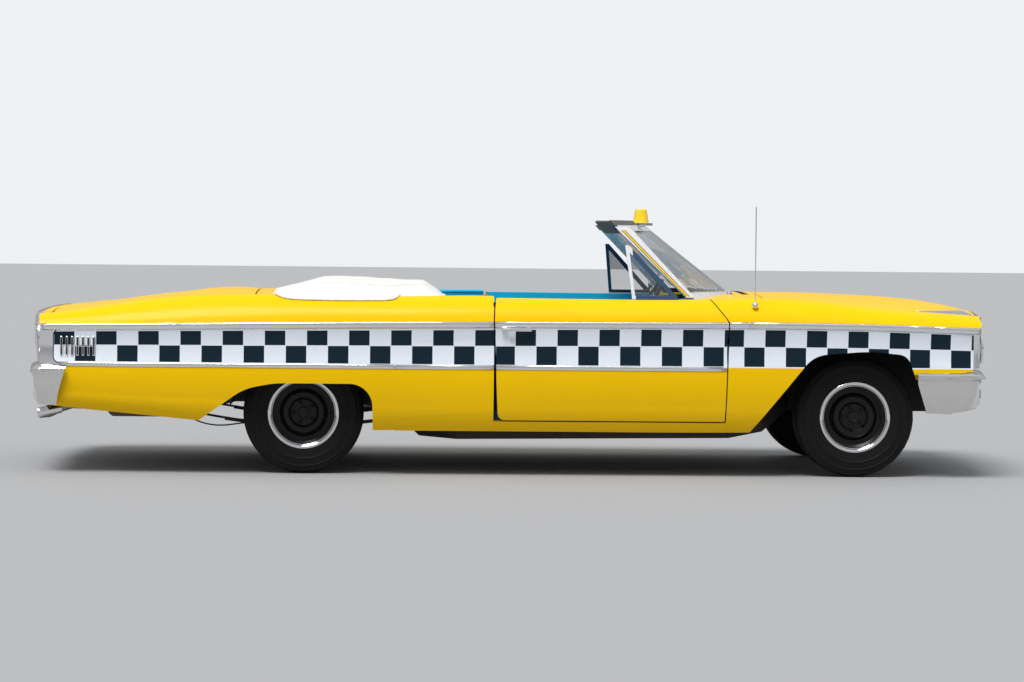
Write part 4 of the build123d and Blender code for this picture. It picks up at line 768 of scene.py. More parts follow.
def shapes(cab):
    """The bumpers' lips and swept corners, the fenders' pointed tips and the raised tail pipe."""
    corner = (0.62, 0.68, 0.74, 0.80, 0.86, 0.90, 0.925, 0.95, 0.975)
    for node, way, table, start in (("front_bumper", 1, FRONT_LIP, 2.38),
                                    ("rear_bumper", -1, REAR_LIP, 2.43)):
        cuts = {"z": [row[0] for row in table] + [0.47, 0.505, 0.571],
                "y": [s * y for s in (-1, 1) for y in corner],
                "x": [way * (start + 0.02 * k) for k in range(8)]}
        reshaped(node, "bumper", cuts,
                 lambda co, way=way, table=table, start=start: bumper_move(co, way, table, start))
    fender_foot = 0.572
    cuts = {"z": [fender_foot] + [0.79 + 0.008 * k for k in range(14)], "x": [2.40, 2.44, 2.48, 2.52, 2.545]}
    reshaped("front_fenders", "chequers", cuts, fender_move, (2.2, fender_foot))
    reshaped("exhaust", "steel", {"x": [x for x, _ in TAIL_PIPE_RISE]}, exhaust_move)
    bm = bmesh.new()
    spun(bm,
         [(0.0245, 0.0), (0.0285, 0.0), (0.0295, 0.02), (0.0295, 0.128), (0.0285, 0.132), (0.0245, 0.130)],
         laid((-2.462, -0.732, 0.344), (-0.130, -0.022, -0.030)), 40)
    piece("tail_pipe_tip", bm, "chrome", "body")


def dress_frame(cab):
    """Gives every CAD node its finish."""
    keys = {
        "enamel": "rocker_panels rear_deck hood trunk_lid tail_panel",
        "chequers": "front_fenders quarter_panels door_left door_right",
        "cowl": "cowl",
        "chrome": "grille door_handle_left door_handle_right door_mirror antenna beacon_base",
        "bumper": "front_bumper rear_bumper",
        "steel": "driveline exhaust tie_rod",
        "frame": "windshield_frame",
        "vent": "vent_frame_left vent_frame_right",
        "glass": "windshield_glass vent_glass_left vent_glass_right",
        "lamp": "headlamps",
        "red": "tail_lamps",
        "dome": "beacon_dome",
        "black": "chassis_frame wheelhouses engine_bay radiator_support radiator rear_axle leaf_springs "
                 "front_suspension knuckle_left knuckle_right",
        "engine": "engine",
        "tank": "fuel_tank",
        "lining": "dashboard steering_column",
        "vinyl": "front_seat rear_seat",
        "cover": "boot_cover",
        "visor": "sun_visors",
        "carpet": "floor_pan",
        "navy": "steering_wheel",
        "rubber": "brake_cable",
        "gloss_black": " ".join("wheel_" + w for w in WHEELS),
        "tyre": " ".join("tyre_" + w for w in WHEELS),
    }
    for key, names in keys.items():
        for name in names.split():
            node = NODES[name]
            if not node.data.materials:
                node.data.materials.append(None)
            for slot in node.material_slots:
                slot.material = finish_of(key)


def outward(middle, normal):
    """Tells whether a face belongs to the outside of the body's side."""
    return normal.y * middle.y > 0 and abs(normal.y) > 0.75 and abs(middle.y) > 0.9


def round_out(bm, top, height, rise, rows=6):
    """Cuts a band of the side below a line into rows and swells it to a round section."""
    for x, _ in top:
        cut(bm, (x, 0, 0), (1, 0, 0))
    for (a, u), (b, v) in zip(top, top[1:]):
        for row in range(1, rows):
            faces = [f for f in bm.faces if a <= f.calc_center_median().x <= b]
            edges, verts = {e for f in faces for e in f.edges}, {w for f in faces for w in f.verts}
            geom = faces + list(edges) + list(verts)
            bmesh.ops.bisect_plane(bm, geom=geom, dist=1e-5, plane_co=(a, 0, u - height * row / rows),
                                   plane_no=Vector((u - v, 0, b - a)).normalized())
    for v in bm.verts:
        share = (line_at(top, v.co.x) - v.co.z) / height
        v.co.y += math.copysign(rise * max(0.0, 1 - (2 * share - 1) ** 2) ** 0.5, v.co.y)


def side_mouldings(cab):
    """The bright mouldings over and under the squares, each on its own panel."""
    rise = cab.trim.moulding_rise
    solid = ("SOLIDIFY", {"thickness": 0.002, "offset": -1.0})
    panels = {"front_fenders": "body", "quarter_panels": "body", "door_left": "door_left",
              "door_right": "door_right"}
    for node, body in panels.items():
        bm = skin_of(node, lambda c, n: outward(c, n)
                     and -MOULD_HEIGHT - 0.001 < c.z - line_at(MOULD_LINE, c.x) < 0.001)
        cut_away(bm, (2.566, 0, 0), (1, 0, 0))
        cut_away(bm, (-2.545, 0, 0), (-1, 0, 0))
        round_out(bm, MOULD_LINE, MOULD_HEIGHT, rise)
        piece(f"upper_moulding_{node}", bm, "moulding", body, modifiers=(solid,))
    for node in ("quarter_panels", "door_left", "door_right"):
        bm = skin_of(node, lambda c, n: outward(c, n) and LOW_BOTTOM < c.z < LOW_TOP + 0.001)
        cut_away(bm, (-2.45, 0, 0), (-1, 0, 0))
        cut_away(bm, (1.164, 0, 0.598), (0.35, 0, 1.0))
        cut_away(bm, (1.164, 0, 0.588), (0.35, 0, -1.0))
        round_out(bm, [(-2.7, LOW_TOP), (2.7, LOW_TOP)], LOW_TOP - LOW_BOTTOM, rise * 0.8, 5)
        piece(f"lower_moulding_{node}", bm, "moulding", panels[node], modifiers=(solid,))


def flank_bars(cab):
    """Seven upright bars on each rear quarter, with dark middles and a bright tie across."""
    skin = Skin("quarter_panels")
    for side, word in ((-1, "right"), (1, "left")):
        rims, middles = bmesh.new(), bmesh.new()
        for k in range(7):
            x = -2.441 + k * 0.0293
            high, low = (skin.spot((x, side * 1.3, z), (0, -side, 0)) for z in (0.738, 0.642))
            lean = facing(high - low)
            y = side * (max(abs(high.y), abs(low.y)) + 0.001)
            block(rims, (x, y, 0.690), (0.0155, 0.011, 0.108), 0.005, 3, lean)
            block(middles, (x, y + side * 0.0035, 0.690), (0.0075, 0.008, 0.094), 0.0025, 2, lean)
        y = side * (max(abs(high.y), abs(low.y)) + 0.0045)
        block(rims, (-2.353, y, 0.690), (0.190, 0.006, 0.0055), 0.002, 2)
        piece(f"flank_bars_{word}", rims, "chrome", "body")
        piece(f"flank_bar_middles_{word}", middles, "rubber", "body")


def spear_ring(rise):
    """A spear's section as (quarters of its width from the middle, height over its foot)."""
    return ((-2, 0.0), (-1, 0.004 + rise * 0.8), (0, 0.004 + rise), (1, 0.004 + rise * 0.8), (2, 0.0))


def fender_spears(cab):
    """The two bright spears along the fronts of the fender tops."""
    skin = Skin("front_fenders")
    bm = bmesh.new()
    for side in (-1, 1):
        rings = []
        for share in (0.0, 0.3, 0.6, 0.85, 1.0):
            x = 2.225 + 0.300 * share
            y = side * (0.812 - 0.02 * share)
            foot = skin.spot((x, y, 1.3), (0, 0, -1)).z - 0.004
            rise, half = 0.003 + 0.027 * share, 0.002 + 0.010 * share ** 0.7
            if share == 1.0:
                ring = [(x + 0.012, y + half * k / 2, foot + h * 0.35) for k, h in spear_ring(rise)]
            else:
                ring = [(x, y + half * k / 2, foot + h) for k, h in spear_ring(rise)]
            rings.append(ring)
        lofted(bm, rings)
    piece("fender_spears", bm, "chrome", "body", 30, (("BEVEL", {"width": 0.002, "segments": 2}),))


def door_furniture(cab):
    """Lock barrels outside; armrests, cranks, strips and pleats inside each door; a seal behind it."""
    for side, door in DOORS:
        lock = Skin(door).spot((-0.006, side * 1.3, 0.742), (0, -side, 0))
        bm = bmesh.new()
        spun(bm,
             [(0.0, 0.004), (0.004, 0.004), (0.005, 0.0045), (0.0115, 0.003), (0.0125, 0.0),
              (0.0125, -0.004), (0.0, -0.004)], laid(lock, (0, side, 0)), 24, False)
        for z in (0.60, 0.875):
            block(bm, (0.50, side * (DOOR_INNER - 0.002), z), (1.02, 0.006, 0.012), 0.002, 2)
        for x, z, length in ((0.62, 0.70, 0.075), (0.92, 0.66, 0.06)):
            spun(bm, [(0.0, 0.026), (0.012, 0.026), (0.017, 0.020), (0.020, 0.0), (0.0, 0.0)],
                 laid((x, side * DOOR_INNER, z), (0, -side, 0)), 24, False)
            knob = Vector((x - length, side * (DOOR_INNER - 0.038), z - 0.02))
            bar(bm, (x, side * (DOOR_INNER - 0.022), z), knob + Vector((0, side * 0.008, 0)), 0.006, 0.004)
            ball(bm, knob, 0.011)
        piece(f"door_metal_{door}", bm, "chrome", door)
        bm = bmesh.new()
        block(bm, (0.36, side * (DOOR_INNER - 0.026), 0.655), (0.36, 0.056, 0.062), 0.022, 5)
        piece(f"armrest_{door}", bm, "vinyl", door)
        bm = bmesh.new()
        for k in range(14):
            block(bm, (0.02 + k * 0.068, side * (DOOR_INNER - 0.001), 0.48), (0.060, 0.008, 0.19), 0.0035, 3)
        piece(f"lining_pleats_{door}", bm, "vinyl", door)
    door_seals()


def door_seals():
    """A dark angle behind each door's rear gap: one leg goes inwards, the other runs on behind the gap."""
    bm = bmesh.new()
    for side, door in DOORS:
        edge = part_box(door)[0].x
        block(bm, (edge - 0.0054, side * 0.903, 0.650), (0.0030, 0.134, 0.590), 0.0008, 1)
        block(bm, (edge + 0.0048, side * 0.8385, 0.650), (0.0235, 0.0030, 0.590), 0.0008, 1)
    piece("door_seals", bm, "rubber", "body")


def wheel_dress(cab):
    """A bright trim ring, lug nuts, hub ring, valve and a treaded tyre for each wheel."""
    nuts, nut_circle, nut_height = 5, 0.05715, 0.038
    for word, (x, side) in WHEELS.items():
        low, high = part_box("tyre_" + word)
        place = wheel_place(x, (low.y + high.y) / 2, side)
        bm = bmesh.new()
        r, w = 0.1955, 0.0915
        inner = r - cab.trim.ring_width
        spun(bm, [(r, w), (r - 0.003, w + 0.0035), (r - 0.010, w + 0.0045), (inner + 0.002, w + 0.001),
                  (inner - 0.003, w - 0.008), (inner - 0.005, w - 0.024), (inner - 0.0065, w - 0.024),
                  (inner - 0.004, w - 0.007), (r - 0.010, w + 0.001), (r - 0.002, w - 0.002)], place, 96)
        piece(f"trim_ring_{word}", bm, "chrome", "wheel_" + word, 50)
        bm = bmesh.new()
        for k in range(nuts):
            a = 2 * math.pi * (k + 0.5) / nuts
            nut = (nut_circle * math.cos(a), nut_circle * math.sin(a), nut_height)
            spot = place @ Matrix.Translation(nut)
            bmesh.ops.create_cone(bm, cap_ends=True, segments=6, radius1=0.0118, radius2=0.0105, depth=0.016,
                                  matrix=spot)
            bmesh.ops.create_uvsphere(bm, u_segments=12, v_segments=6, radius=0.0095,
                                      matrix=spot @ Matrix.Translation((0, 0, 0.006)))
        spun(bm,
             [(0.0305, 0.036), (0.0305, 0.046), (0.028, 0.0485), (0.024, 0.0485), (0.022, 0.047),
              (0.022, 0.036)], place, 48)
        spun(bm, [(0.109, 0.0385), (0.1125, 0.0415), (0.116, 0.0385), (0.1125, 0.034)], place, 64)
        bar(bm, place @ Vector((0.150, 0.0, 0.050)), place @ Vector((0.158, 0.0, 0.078)), 0.0045, 0.003)
        piece(f"wheel_hardware_{word}", bm, "gloss_black", "wheel_" + word)
        tread_tyre(word, place)


def tread_tyre(word, place):
    """A tyre with four grooves round it, cut tread blocks at its shoulders and a ribbed side."""
    steps, top, groove_half, groove_foot = 120, AXLE_HEIGHT, 0.0042, 0.0032
    flank = [(0.1935, 0.0905), (0.197, 0.0955), (0.204, 0.0965), (0.215, 0.0985), (0.235, 0.1010),
             (0.2452, 0.1020), (0.2470, 0.1030), (0.2488, 0.1020), (0.262, 0.1022), (0.280, 0.1005),
             (0.2855, 0.0998), (0.2868, 0.1006), (0.2881, 0.0992), (0.300, 0.0955), (0.312, 0.0880),
             (0.3205, 0.0800), (0.3240, 0.0740)]
    shoulder = [(0.3262, 0.0660), (0.3275, 0.0530)]
    grooves = []
    for centre in (0.045, 0.015):
        grooves += [(top - 0.0015 - 0.9 * centre ** 2, centre + groove_half),
                    (top - 0.0095, centre + groove_foot), (top - 0.0095, centre - groove_foot),
                    (top - 0.0012, centre - groove_half)]
    right = flank + shoulder + grooves
    profile = right + [(r, -h) for r, h in reversed(right)]
    profile += [(0.183, -0.080), (0.183, 0.080)]
    bm = bmesh.new()
    spun(bm, profile, Matrix(), steps)
    sunk = set()
    for f in bm.faces:
        x, y, z = f.calc_center_median()
        sector = int((math.atan2(y, x) + math.pi) / (2 * math.pi) * steps)
        if math.hypot(x, y) > 0.3215 and 0.052 < abs(z) < 0.076 and sector % 3 == 0:
            sunk.update(f.verts)
    for v in sunk:
        v.co -= Vector((v.co.x, v.co.y, 0)).normalized() * 0.0045
    bmesh.ops.transform(bm, matrix=place, verts=bm.verts)
    tyre = piece(f"treaded_tyre_{word}", bm, "tyre", "wheel_" + word, 40)
    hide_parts("tyre_" + word)


def lamp_rings(cab):
    """Bezels, bowls and surrounds of the four headlamps, and rings and centres of the two tail lamps."""
    bm, bulbs = bmesh.new(), bmesh.new()
    for y in (0.610, 0.780):
        for side in (-1, 1):
            x = 2.657 - 0.086 * (y / 0.9) ** 2
            place = laid((x, side * y, 0.712), (1, 0, 0))
            spun(bm, [(0.0755, -0.014), (0.0755, -0.004), (0.080, 0.001), (0.086, 0.000), (0.0885, -0.006),
                      (0.0885, -0.012), (0.083, -0.006), (0.0790, -0.008)], place, 56)
            spun(bulbs, [(0.0, -0.030), (0.020, -0.030), (0.030, -0.036), (0.066, -0.046), (0.0, -0.048)],
                 place, 40, False)
    piece("headlamp_bezels", bm, "chrome", "body")
    bm = bmesh.new()
    edge_line = [(0.606, 2.569), (0.673, 2.558), (0.715, 2.557), (0.761, 2.563), (0.812, 2.570)]
    for side in (-1, 1):
        rings = []
        for z in (0.606, 0.635, 0.673, 0.715, 0.761, 0.790, 0.812):
            front = line_at(edge_line, z)
            ring = [(2.512, 0.874), (2.512, 0.902), (front - 0.022, 0.903), (front - 0.006, 0.896),
                    (front, 0.884), (front - 0.004, 0.872)]
            rings.append([(x, side * y, z) for x, y in ring])
        lofted(bm, rings)
    piece("headlamp_surrounds", bm, "moulding", "body", 45)
    piece("headlamp_bowls", bulbs, "mirror", "body")
    bm, centres = bmesh.new(), bmesh.new()
    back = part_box("tail_lamps")[0].x
    for side in (-1, 1):
        place = laid((back, side * 0.720, 0.722), (-1, 0, 0))
        spun(bm, [(0.0985, -0.052), (0.106, -0.050), (0.110, -0.030), (0.109, -0.018), (0.104, -0.010),
                  (0.0985, -0.014)], place, 64)
        spun(bm, [(0.044, -0.012), (0.044, 0.002), (0.041, 0.004), (0.037, 0.003), (0.037, -0.012)],
             place, 48)
        spun(centres, [(0.0, 0.003), (0.020, 0.002), (0.036, -0.002), (0.036, -0.012), (0.0, -0.012)],
             place, 40, False)
    piece("tail_lamp_bezels", bm, "chrome", "body")
    piece("tail_lamp_centres", centres, "lamp", "body")


def end_trim(cab):
    """Blank number plates, bumper bolts, parking lamps and the bright lip round the tail."""
    bm, bolts, lamps = bmesh.new(), bmesh.new(), bmesh.new()
    for way, bumper in ((1, "front_bumper"), (-1, "rear_bumper")):
        skin = Skin(bumper)
        middle = skin.spot((way * 3.4, 0, 0.47), (-way, 0, 0))
        block(bm, (middle.x + way * 0.003, 0, 0.462), (0.004, 0.305, 0.152), 0.0015, 2)
        for y in (-0.105, 0.105):
            for z in (0.402, 0.522):
                ball(bolts, (middle.x + way * 0.0045, y, z), 0.0075, 10)
        for y in (-0.72, -0.36, 0.36, 0.72):
            spot = skin.spot((way * 3.4, y, 0.53), (-way, 0, 0))
            spun(bolts, [(0.0, 0.007), (0.010, 0.006), (0.016, 0.003), (0.019, -0.002), (0.0, -0.002)],
                 laid(spot, (way, 0, 0)), 20, False)
        if way > 0:
            for side in (-1, 1):
                spot = skin.spot((3.4, side * 0.60, 0.455), (-1, 0, 0))
                block(lamps, (spot.x - 0.003, side * 0.60, 0.455), (0.010, 0.150, 0.050), 0.004, 3,
                      Matrix.Rotation(0.104 * side, 4, "Z"))
    piece("number_plates", bm, "plate", "body")
    piece("bumper_bolts", bolts, "chrome", "body")
    piece("parking_lamps", lamps, "lamp", "body")
    rim = bmesh.new()
    for side in (-1, 1):
        tube(rim, [(-2.575, side * 0.925, 0.862), (-2.580, side * 0.938, 0.80), (-2.576, side * 0.936, 0.72),
                   (-2.568, side * 0.930, 0.612)], 0.007)
    tube(rim, [(-2.572, -0.905, 0.868), (-2.580, -0.60, 0.874), (-2.586, 0.0, 0.876), (-2.580, 0.60, 0.874),
               (-2.572, 0.905, 0.868)], 0.006)
    piece("tail_lip", rim, "chrome", "body")


def windshield_trim(cab):
    """Wipers, inside mirror, header latches and the glass of the door's mirror."""
    skin = Skin("windshield_glass", "cowl", "windshield_frame")
    arms, blades = bmesh.new(), bmesh.new()
    blade_length, blade_lift = 0.40, 0.012
    for y in (-0.42, 0.30):
        foot = skin.spot((1.235, y, 1.4), (0, 0, -1))
        spun(arms, [(0.0, 0.022), (0.010, 0.020), (0.014, 0.010), (0.016, 0.0), (0.0, 0.0)],
             laid(foot, (0.1, 0, 1)), 20, False)
        spots = []
        for share in (0.15, 0.5, 0.95):
            place, normal = skin.hit((2.0, y + blade_length * share, 1.025 + 0.012 * share), (-1, 0, -0.12))
            spots.append(place + normal * blade_lift)
        tube(arms, [foot + Vector((0, 0, 0.016)), spots[0] + Vector((0, 0, 0.006)), spots[1]], 0.0035)
        for a, b in zip(spots, spots[1:]):
            bar(blades, a - Vector((0.002, 0, 0.002)), b - Vector((0.002, 0, 0.002)), 0.0045)
    piece("wiper_arms", arms, "alloy", "body")
    piece("wiper_blades", blades, "rubber", "body")
    bm = bmesh.new()
    block(bm, (0.700, 0.0, 1.285), (0.014, 0.230, 0.058), 0.006, 3, tilted(0.18))
    bar(bm, (0.706, 0, 1.300), (0.745, 0, 1.348), 0.005)
    for side in (-1, 1):
        block(bm, (0.728, side * 0.42, 1.366), (0.050, 0.030, 0.012), 0.004, 2, tilted(-0.2))
    piece("inside_mirror", bm, "alloy", "body")
    bm = bmesh.new()
    spun(bm, [(0.0, 0.0), (0.046, 0.0), (0.047, 0.001), (0.0, 0.0015)],
         laid((0.8915, 0.950, 1.017), (-1, 0, 0)), 40, False)
    piece("door_mirror_glass", bm, "mirror", "door_left")


def dash_fittings(cab):
    """Instrument dials, radio, knobs, glovebox lid, shift and turn levers, pedals and the horn ring."""
    skin, lean, ahead = Skin("dashboard"), tilted(-0.13), (1, 0, 0)
    metal, dials, rubber, lid = bmesh.new(), bmesh.new(), bmesh.new(), bmesh.new()
    for y, r in ((0.52, 0.042), (0.392, 0.052), (0.264, 0.042)):
        spot, normal = skin.hit((0.6, y, 0.878), ahead)
        place = laid(spot, normal)
        spun(metal, [(r, -0.002), (r, 0.010), (r + 0.004, 0.013), (r + 0.008, 0.009), (r + 0.009, -0.002)],
             place, 40)
        spun(dials, [(0.0, 0.006), (r, 0.006), (r, -0.001), (0.0, -0.001)], place, 40, False)
        for k in range(11):
            a = math.radians(-130 + 26 * k)
            block(metal, place @ Vector((r * 0.82 * math.sin(a), r * 0.82 * math.cos(a), 0.0065)),
                  (0.0012, 0.0060, 0.0008), 0.0002, 1, facing(normal) @ Matrix.Rotation(-a, 4, "Z"))
        bar(metal, place @ Vector((0, 0, 0.007)), place @ Vector((-r * 0.5, -r * 0.45, 0.0075)), 0.0011)
    spot = skin.spot((0.6, 0.02, 0.872), ahead)
    block(metal, spot, (0.012, 0.190, 0.062), 0.004, 2, lean)
    block(dials, spot - Vector((0.0055, 0, 0)), (0.006, 0.110, 0.034), 0.002, 2, lean)
    for y, z in ((-0.058, 0.872), (0.098, 0.872), (0.62, 0.838), (0.16, 0.838)):
        spun(metal, [(0.0, 0.024), (0.009, 0.023), (0.011, 0.018), (0.010, 0.0), (0.0, 0.0)],
             laid(*skin.hit((0.6, y, z), ahead)), 20, False)
    spot = skin.spot((0.6, -0.42, 0.872), ahead)
    block(lid, spot - Vector((0.001, 0, 0)), (0.008, 0.380, 0.088), 0.003, 2, lean)
    ball(metal, spot - Vector((0.008, 0, -0.028)), 0.009)
    tube(metal, [(0.930, 0.392, 0.823), (0.915, 0.300, 0.850), (0.905, 0.185, 0.862)], 0.0045)
    ball(metal, (0.905, 0.183, 0.862), 0.012)
    tube(metal, [(0.925, 0.392, 0.826), (0.915, 0.480, 0.838), (0.905, 0.560, 0.850)], 0.0035)
    ball(metal, (0.905, 0.561, 0.850), 0.008)
    piece("dash_metal", metal, "chrome", "body")
    piece("dash_dials", dials, "dial", "body")
    piece("glovebox_lid", lid, "lining", "body")
    for y, z, width, height in ((0.40, 0.470, 0.100, 0.055), (0.215, 0.395, 0.052, 0.150)):
        block(rubber, (1.135, y, z), (0.016, width, height), 0.006, 3, tilted(0.62))
        tube(rubber, [(1.142, y, z), (1.215, y, z + 0.06), (1.262, y, z + 0.21)], 0.006)
    piece("pedals", rubber, "rubber", "body")
    hub = bmesh.new()
    column_top, column_foot = Vector((0.830, 0.392, 0.880)), Vector((1.288, 0.392, 0.620))
    axis = (column_foot - column_top).normalized()
    place = laid(column_top - axis * 0.004, -axis)
    spun(hub,
         [(0.0, 0.020), (0.016, 0.019), (0.028, 0.013), (0.034, 0.004), (0.034, -0.004), (0.0, -0.004)],
         place, 36, False)
    spun(hub, [(0.112, 0.002), (0.115, 0.0045), (0.118, 0.002), (0.115, -0.0005)], place, 64)
    piece("horn_ring", hub, "chrome", "steering_wheel")


def cushion(name, centre, size, lean, swell, cloth):
    """A padded block that is remeshed, blown up as cloth and then pleated on its face."""
    bm = bmesh.new()
    block(bm, (0, 0, 0), size, min(size) * 0.30, 6)
    bmesh.ops.triangulate(bm, faces=bm.faces)
    made = linked(name, bm)
    remesh = made.modifiers.new("Remesh", "REMESH")
    remesh.mode, remesh.voxel_size = "VOXEL", cloth.voxel
    bake(made)
    blow_up(made, cloth.pressure, swell)
    more = made.modifiers.new("Subdivide", "SUBSURF")
    more.levels = more.render_levels = 1
    bake(made)
    pleat(made, size, cloth.pleat)
    made.data.transform(Matrix.Translation(Vector(centre)) @ tilted(lean))
    made.data.shade_smooth()
    made.data.materials.append(finish_of("vinyl"))
    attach(made, "body")
    return made


def bake(made):
    """Applies an object's modifiers to its mesh."""
    graph = bpy.context.evaluated_depsgraph_get()
    mesh = bpy.data.meshes.new_from_object(made.evaluated_get(graph))
    made.modifiers.clear()
    made.data = mesh


def blow_up(made, pressure, most):
    """Runs the padding as cloth under pressure, and lets no point move further than most."""
    scene, last_frame = bpy.context.scene, 20
    start = [v.co.copy() for v in made.data.vertices]
    cloth = made.modifiers.new("Cloth", "CLOTH")
    settings = cloth.settings
    settings.quality = 4
    settings.mass = 0.4
    settings.tension_stiffness = settings.compression_stiffness = 12
    settings.bending_stiffness = 0.6
    settings.use_pressure = True
    settings.uniform_pressure_force = pressure
    settings.effector_weights.gravity = 0.0
    cloth.point_cache.frame_start, cloth.point_cache.frame_end = 1, last_frame
    for frame_now in range(1, last_frame + 1):
        scene.frame_set(frame_now)
    bake(made)
    scene.frame_set(1)
    for v, old in zip(made.data.vertices, start):
        move = v.co - old
        if move.length > most:
            v.co = old + move * (most / move.length)


def pleat(made, size, pitch):
    """Presses sewn pleats into the padded face, and a seam along its front and rear."""
    half = Vector(size) / 2
    reach = int((size[1] - 0.16) / pitch) * pitch / 2
    seam_share, pleat_depth, seam_depth, seam_width = 0.80, 0.0085, 0.006, 0.008
    for v in made.data.vertices:
        u, w, h = v.co.x / half.x, v.co.y, v.co.z / half.z
        if h < 0.25:
            continue
        fade = max(0.0, min(1.0, (seam_share - abs(u)) / 0.10))
        if abs(w) < reach + 0.012:
            near = abs((w + reach + pitch / 2) % pitch - pitch / 2)
            v.co.z -= fade * pleat_depth * math.exp(-(near / pleat_depth) ** 2)
        seam = abs(abs(u) - seam_share) * half.x
        if abs(w) < half.y - 0.05:
            v.co.z -= seam_depth * math.exp(-(seam / seam_width) ** 2)


def seats(cab):
    """Front bench and rear bench: a cushion and a back each, with risers and side plates."""
    cloth = cab.cloth
    front = cushion("front_cushion", (0.498, 0, 0.425), (0.490, 1.372, 0.150), -0.035, 0.012, cloth)
    cushion("front_backrest", (0.098, 0, 0.705), (0.400, 1.376, 0.112), -1.395, 0.012, cloth)
    rear = cushion("rear_cushion", (-0.285, 0, 0.445), (0.480, 1.356, 0.112), -0.03, 0.010, cloth)
    cushion("rear_backrest", (-0.480, 0, 0.705), (0.390, 1.356, 0.116), -1.435, 0.010, cloth)
    bm = bmesh.new()
    for side in (-1, 1):
        y = side * 0.405
        for x in (0.285, 0.670):
            block(bm, (x, y, 0.328), (0.034, 0.440, 0.040), 0.006, 2)
        for dy in (-0.20, 0.20):
            block(bm, (0.478, y + dy, 0.316), (0.430, 0.022, 0.018), 0.004, 2)
    piece("front_seat_risers", bm, "black", "body")
    bm = bmesh.new()
    for side in (-1, 1):
        block(bm, (0.065, side * 0.694, 0.560), (0.060, 0.010, 0.120), 0.004, 3, tilted(-0.18))
    block(bm, (0.022, 0, 0.560), (0.010, 1.30, 0.10), 0.004, 2, tilted(-0.18))
    piece("seat_side_plates", bm, "chrome", "body")
    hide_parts("front_seat")
    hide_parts("rear_seat")


# The boot cover from rear to front: x, the height of its side hems, the height of its crown, half its width
COVER_ROWS = [(-1.305, 0.975, 0.990, 0.842), (-1.285, 0.940, 0.997, 0.884), (-1.235, 0.905, 1.010, 0.916),
              (-1.045, 0.900, 1.059, 0.930), (-0.780, 0.900, 1.056, 0.932), (-0.665, 0.900, 1.050, 0.928),
              (-0.628, 0.920, 1.048, 0.902), (-0.598, 0.958, 1.046, 0.812), (-0.474, 0.966, 1.040, 0.786),
              (-0.400, 0.963, 0.998, 0.776), (-0.347, 0.950, 0.953, 0.762)]
COVER_LOW, COVER_HIGH, COVER_HALF = (column(COVER_ROWS, k) for k in (1, 2, 3))
COVER_CLEARANCE = 0.007


def cover_point(s, t, under):
    """A point of the boot cover: s runs from its rear hem to its front hem, t from right to left."""
    x = COVER_ROWS[0][0] + (COVER_ROWS[-1][0] - COVER_ROWS[0][0]) * s
    low, high = curve_at(COVER_LOW, x), line_at(COVER_HIGH, x)
    y = curve_at(COVER_HALF, x) * math.copysign(abs(t) ** 0.82, t)
    dome = (1 - abs(t) ** 3.2) ** 0.62
    coarse, fine = Vector((x * 3.1, y * 2.3, 0.4)), Vector((x * 9.0, y * 4.0, 2.0))
    folds = noise.noise(coarse) * 0.010 + noise.noise(fine) * 0.0035
    tension = math.sin(y * 21.0 + x * 5.0) * 0.0036 * (1 - dome)
    z = low + (high - low) * dome + (folds + tension) * min(1.0, dome * 3.0)
    spot = under.tree.ray_cast(Vector((x, y, 1.3)), Vector((0, 0, -1)), 0.45)[0]
    return Vector((x, y, max(z, spot.z + COVER_CLEARANCE) if spot else z))


def boot_cover(cab):
    """The vinyl cover over the folded top: one sheet, its hem, its piping and its fasteners."""
    under = Skin("quarter_panels", "rear_deck")
    bm = bmesh.new()
    grid = bmesh.ops.create_grid(bm, x_segments=72, y_segments=130, size=1.0)["verts"]
    for v in grid:
        v.co = cover_point((v.co.x + 1) / 2, v.co.y, under)
    bmesh.ops.smooth_vert(bm, verts=grid, factor=0.3, use_axis_x=False, use_axis_y=False, use_axis_z=True)
    bm.normal_update()
    area = sum(f.calc_area() for f in bm.faces)
    sheet = linked("cover_sheet", bm)
    sheet.data.shade_smooth()
    sheet.data.materials.append(finish_of("cover"))
    thick = sheet.modifiers.new("Solidify", "SOLIDIFY")
    thick.thickness, thick.offset = 0.0022, -1.0
    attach(sheet, "body")
    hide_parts("boot_cover")
    along, across = 60, 80
    hem_line = [(s / along, -1) for s in range(along + 1)]
    hem_line += [(1, -1 + 2 * t / across) for t in range(1, across + 1)]
    hem_line += [(1 - s / along, 1) for s in range(along + 1)]
    hem_line += [(0, 1 - 2 * t / across) for t in range(1, across)]
    edge = [cover_point(s, t, under) for s, t in hem_line]
    hem = bmesh.new()
    tube(hem, edge + edge[:1], 0.0045, 6)
    hem_piece = piece("cover_hem", hem, "cover", "body", 60)
    studs = bmesh.new()
    for side in (-1, 1):
        for k in range(6):
            spot = cover_point(0.10 + 0.13 * k, side * 0.985, under)
            spun(studs, [(0.0, 0.003), (0.004, 0.0025), (0.0055, 0.0), (0.0, -0.001)],
                 laid(spot, (0, side * 0.8, 0.6)), 14, False)
    stud_piece = piece("cover_studs", studs, "steel", "body")
    welt = bmesh.new()
    for t in (-0.62, 0.62):
        line = [cover_point(0.12 + 0.76 * s / 40, t, under) + Vector((0, 0, 0.0015)) for s in range(41)]
        tube(welt, line, 0.0022, 6)
    welt_piece = piece("cover_welts", welt, "cover", "body", 60)
    unstretched = 0.995
    area * unstretched


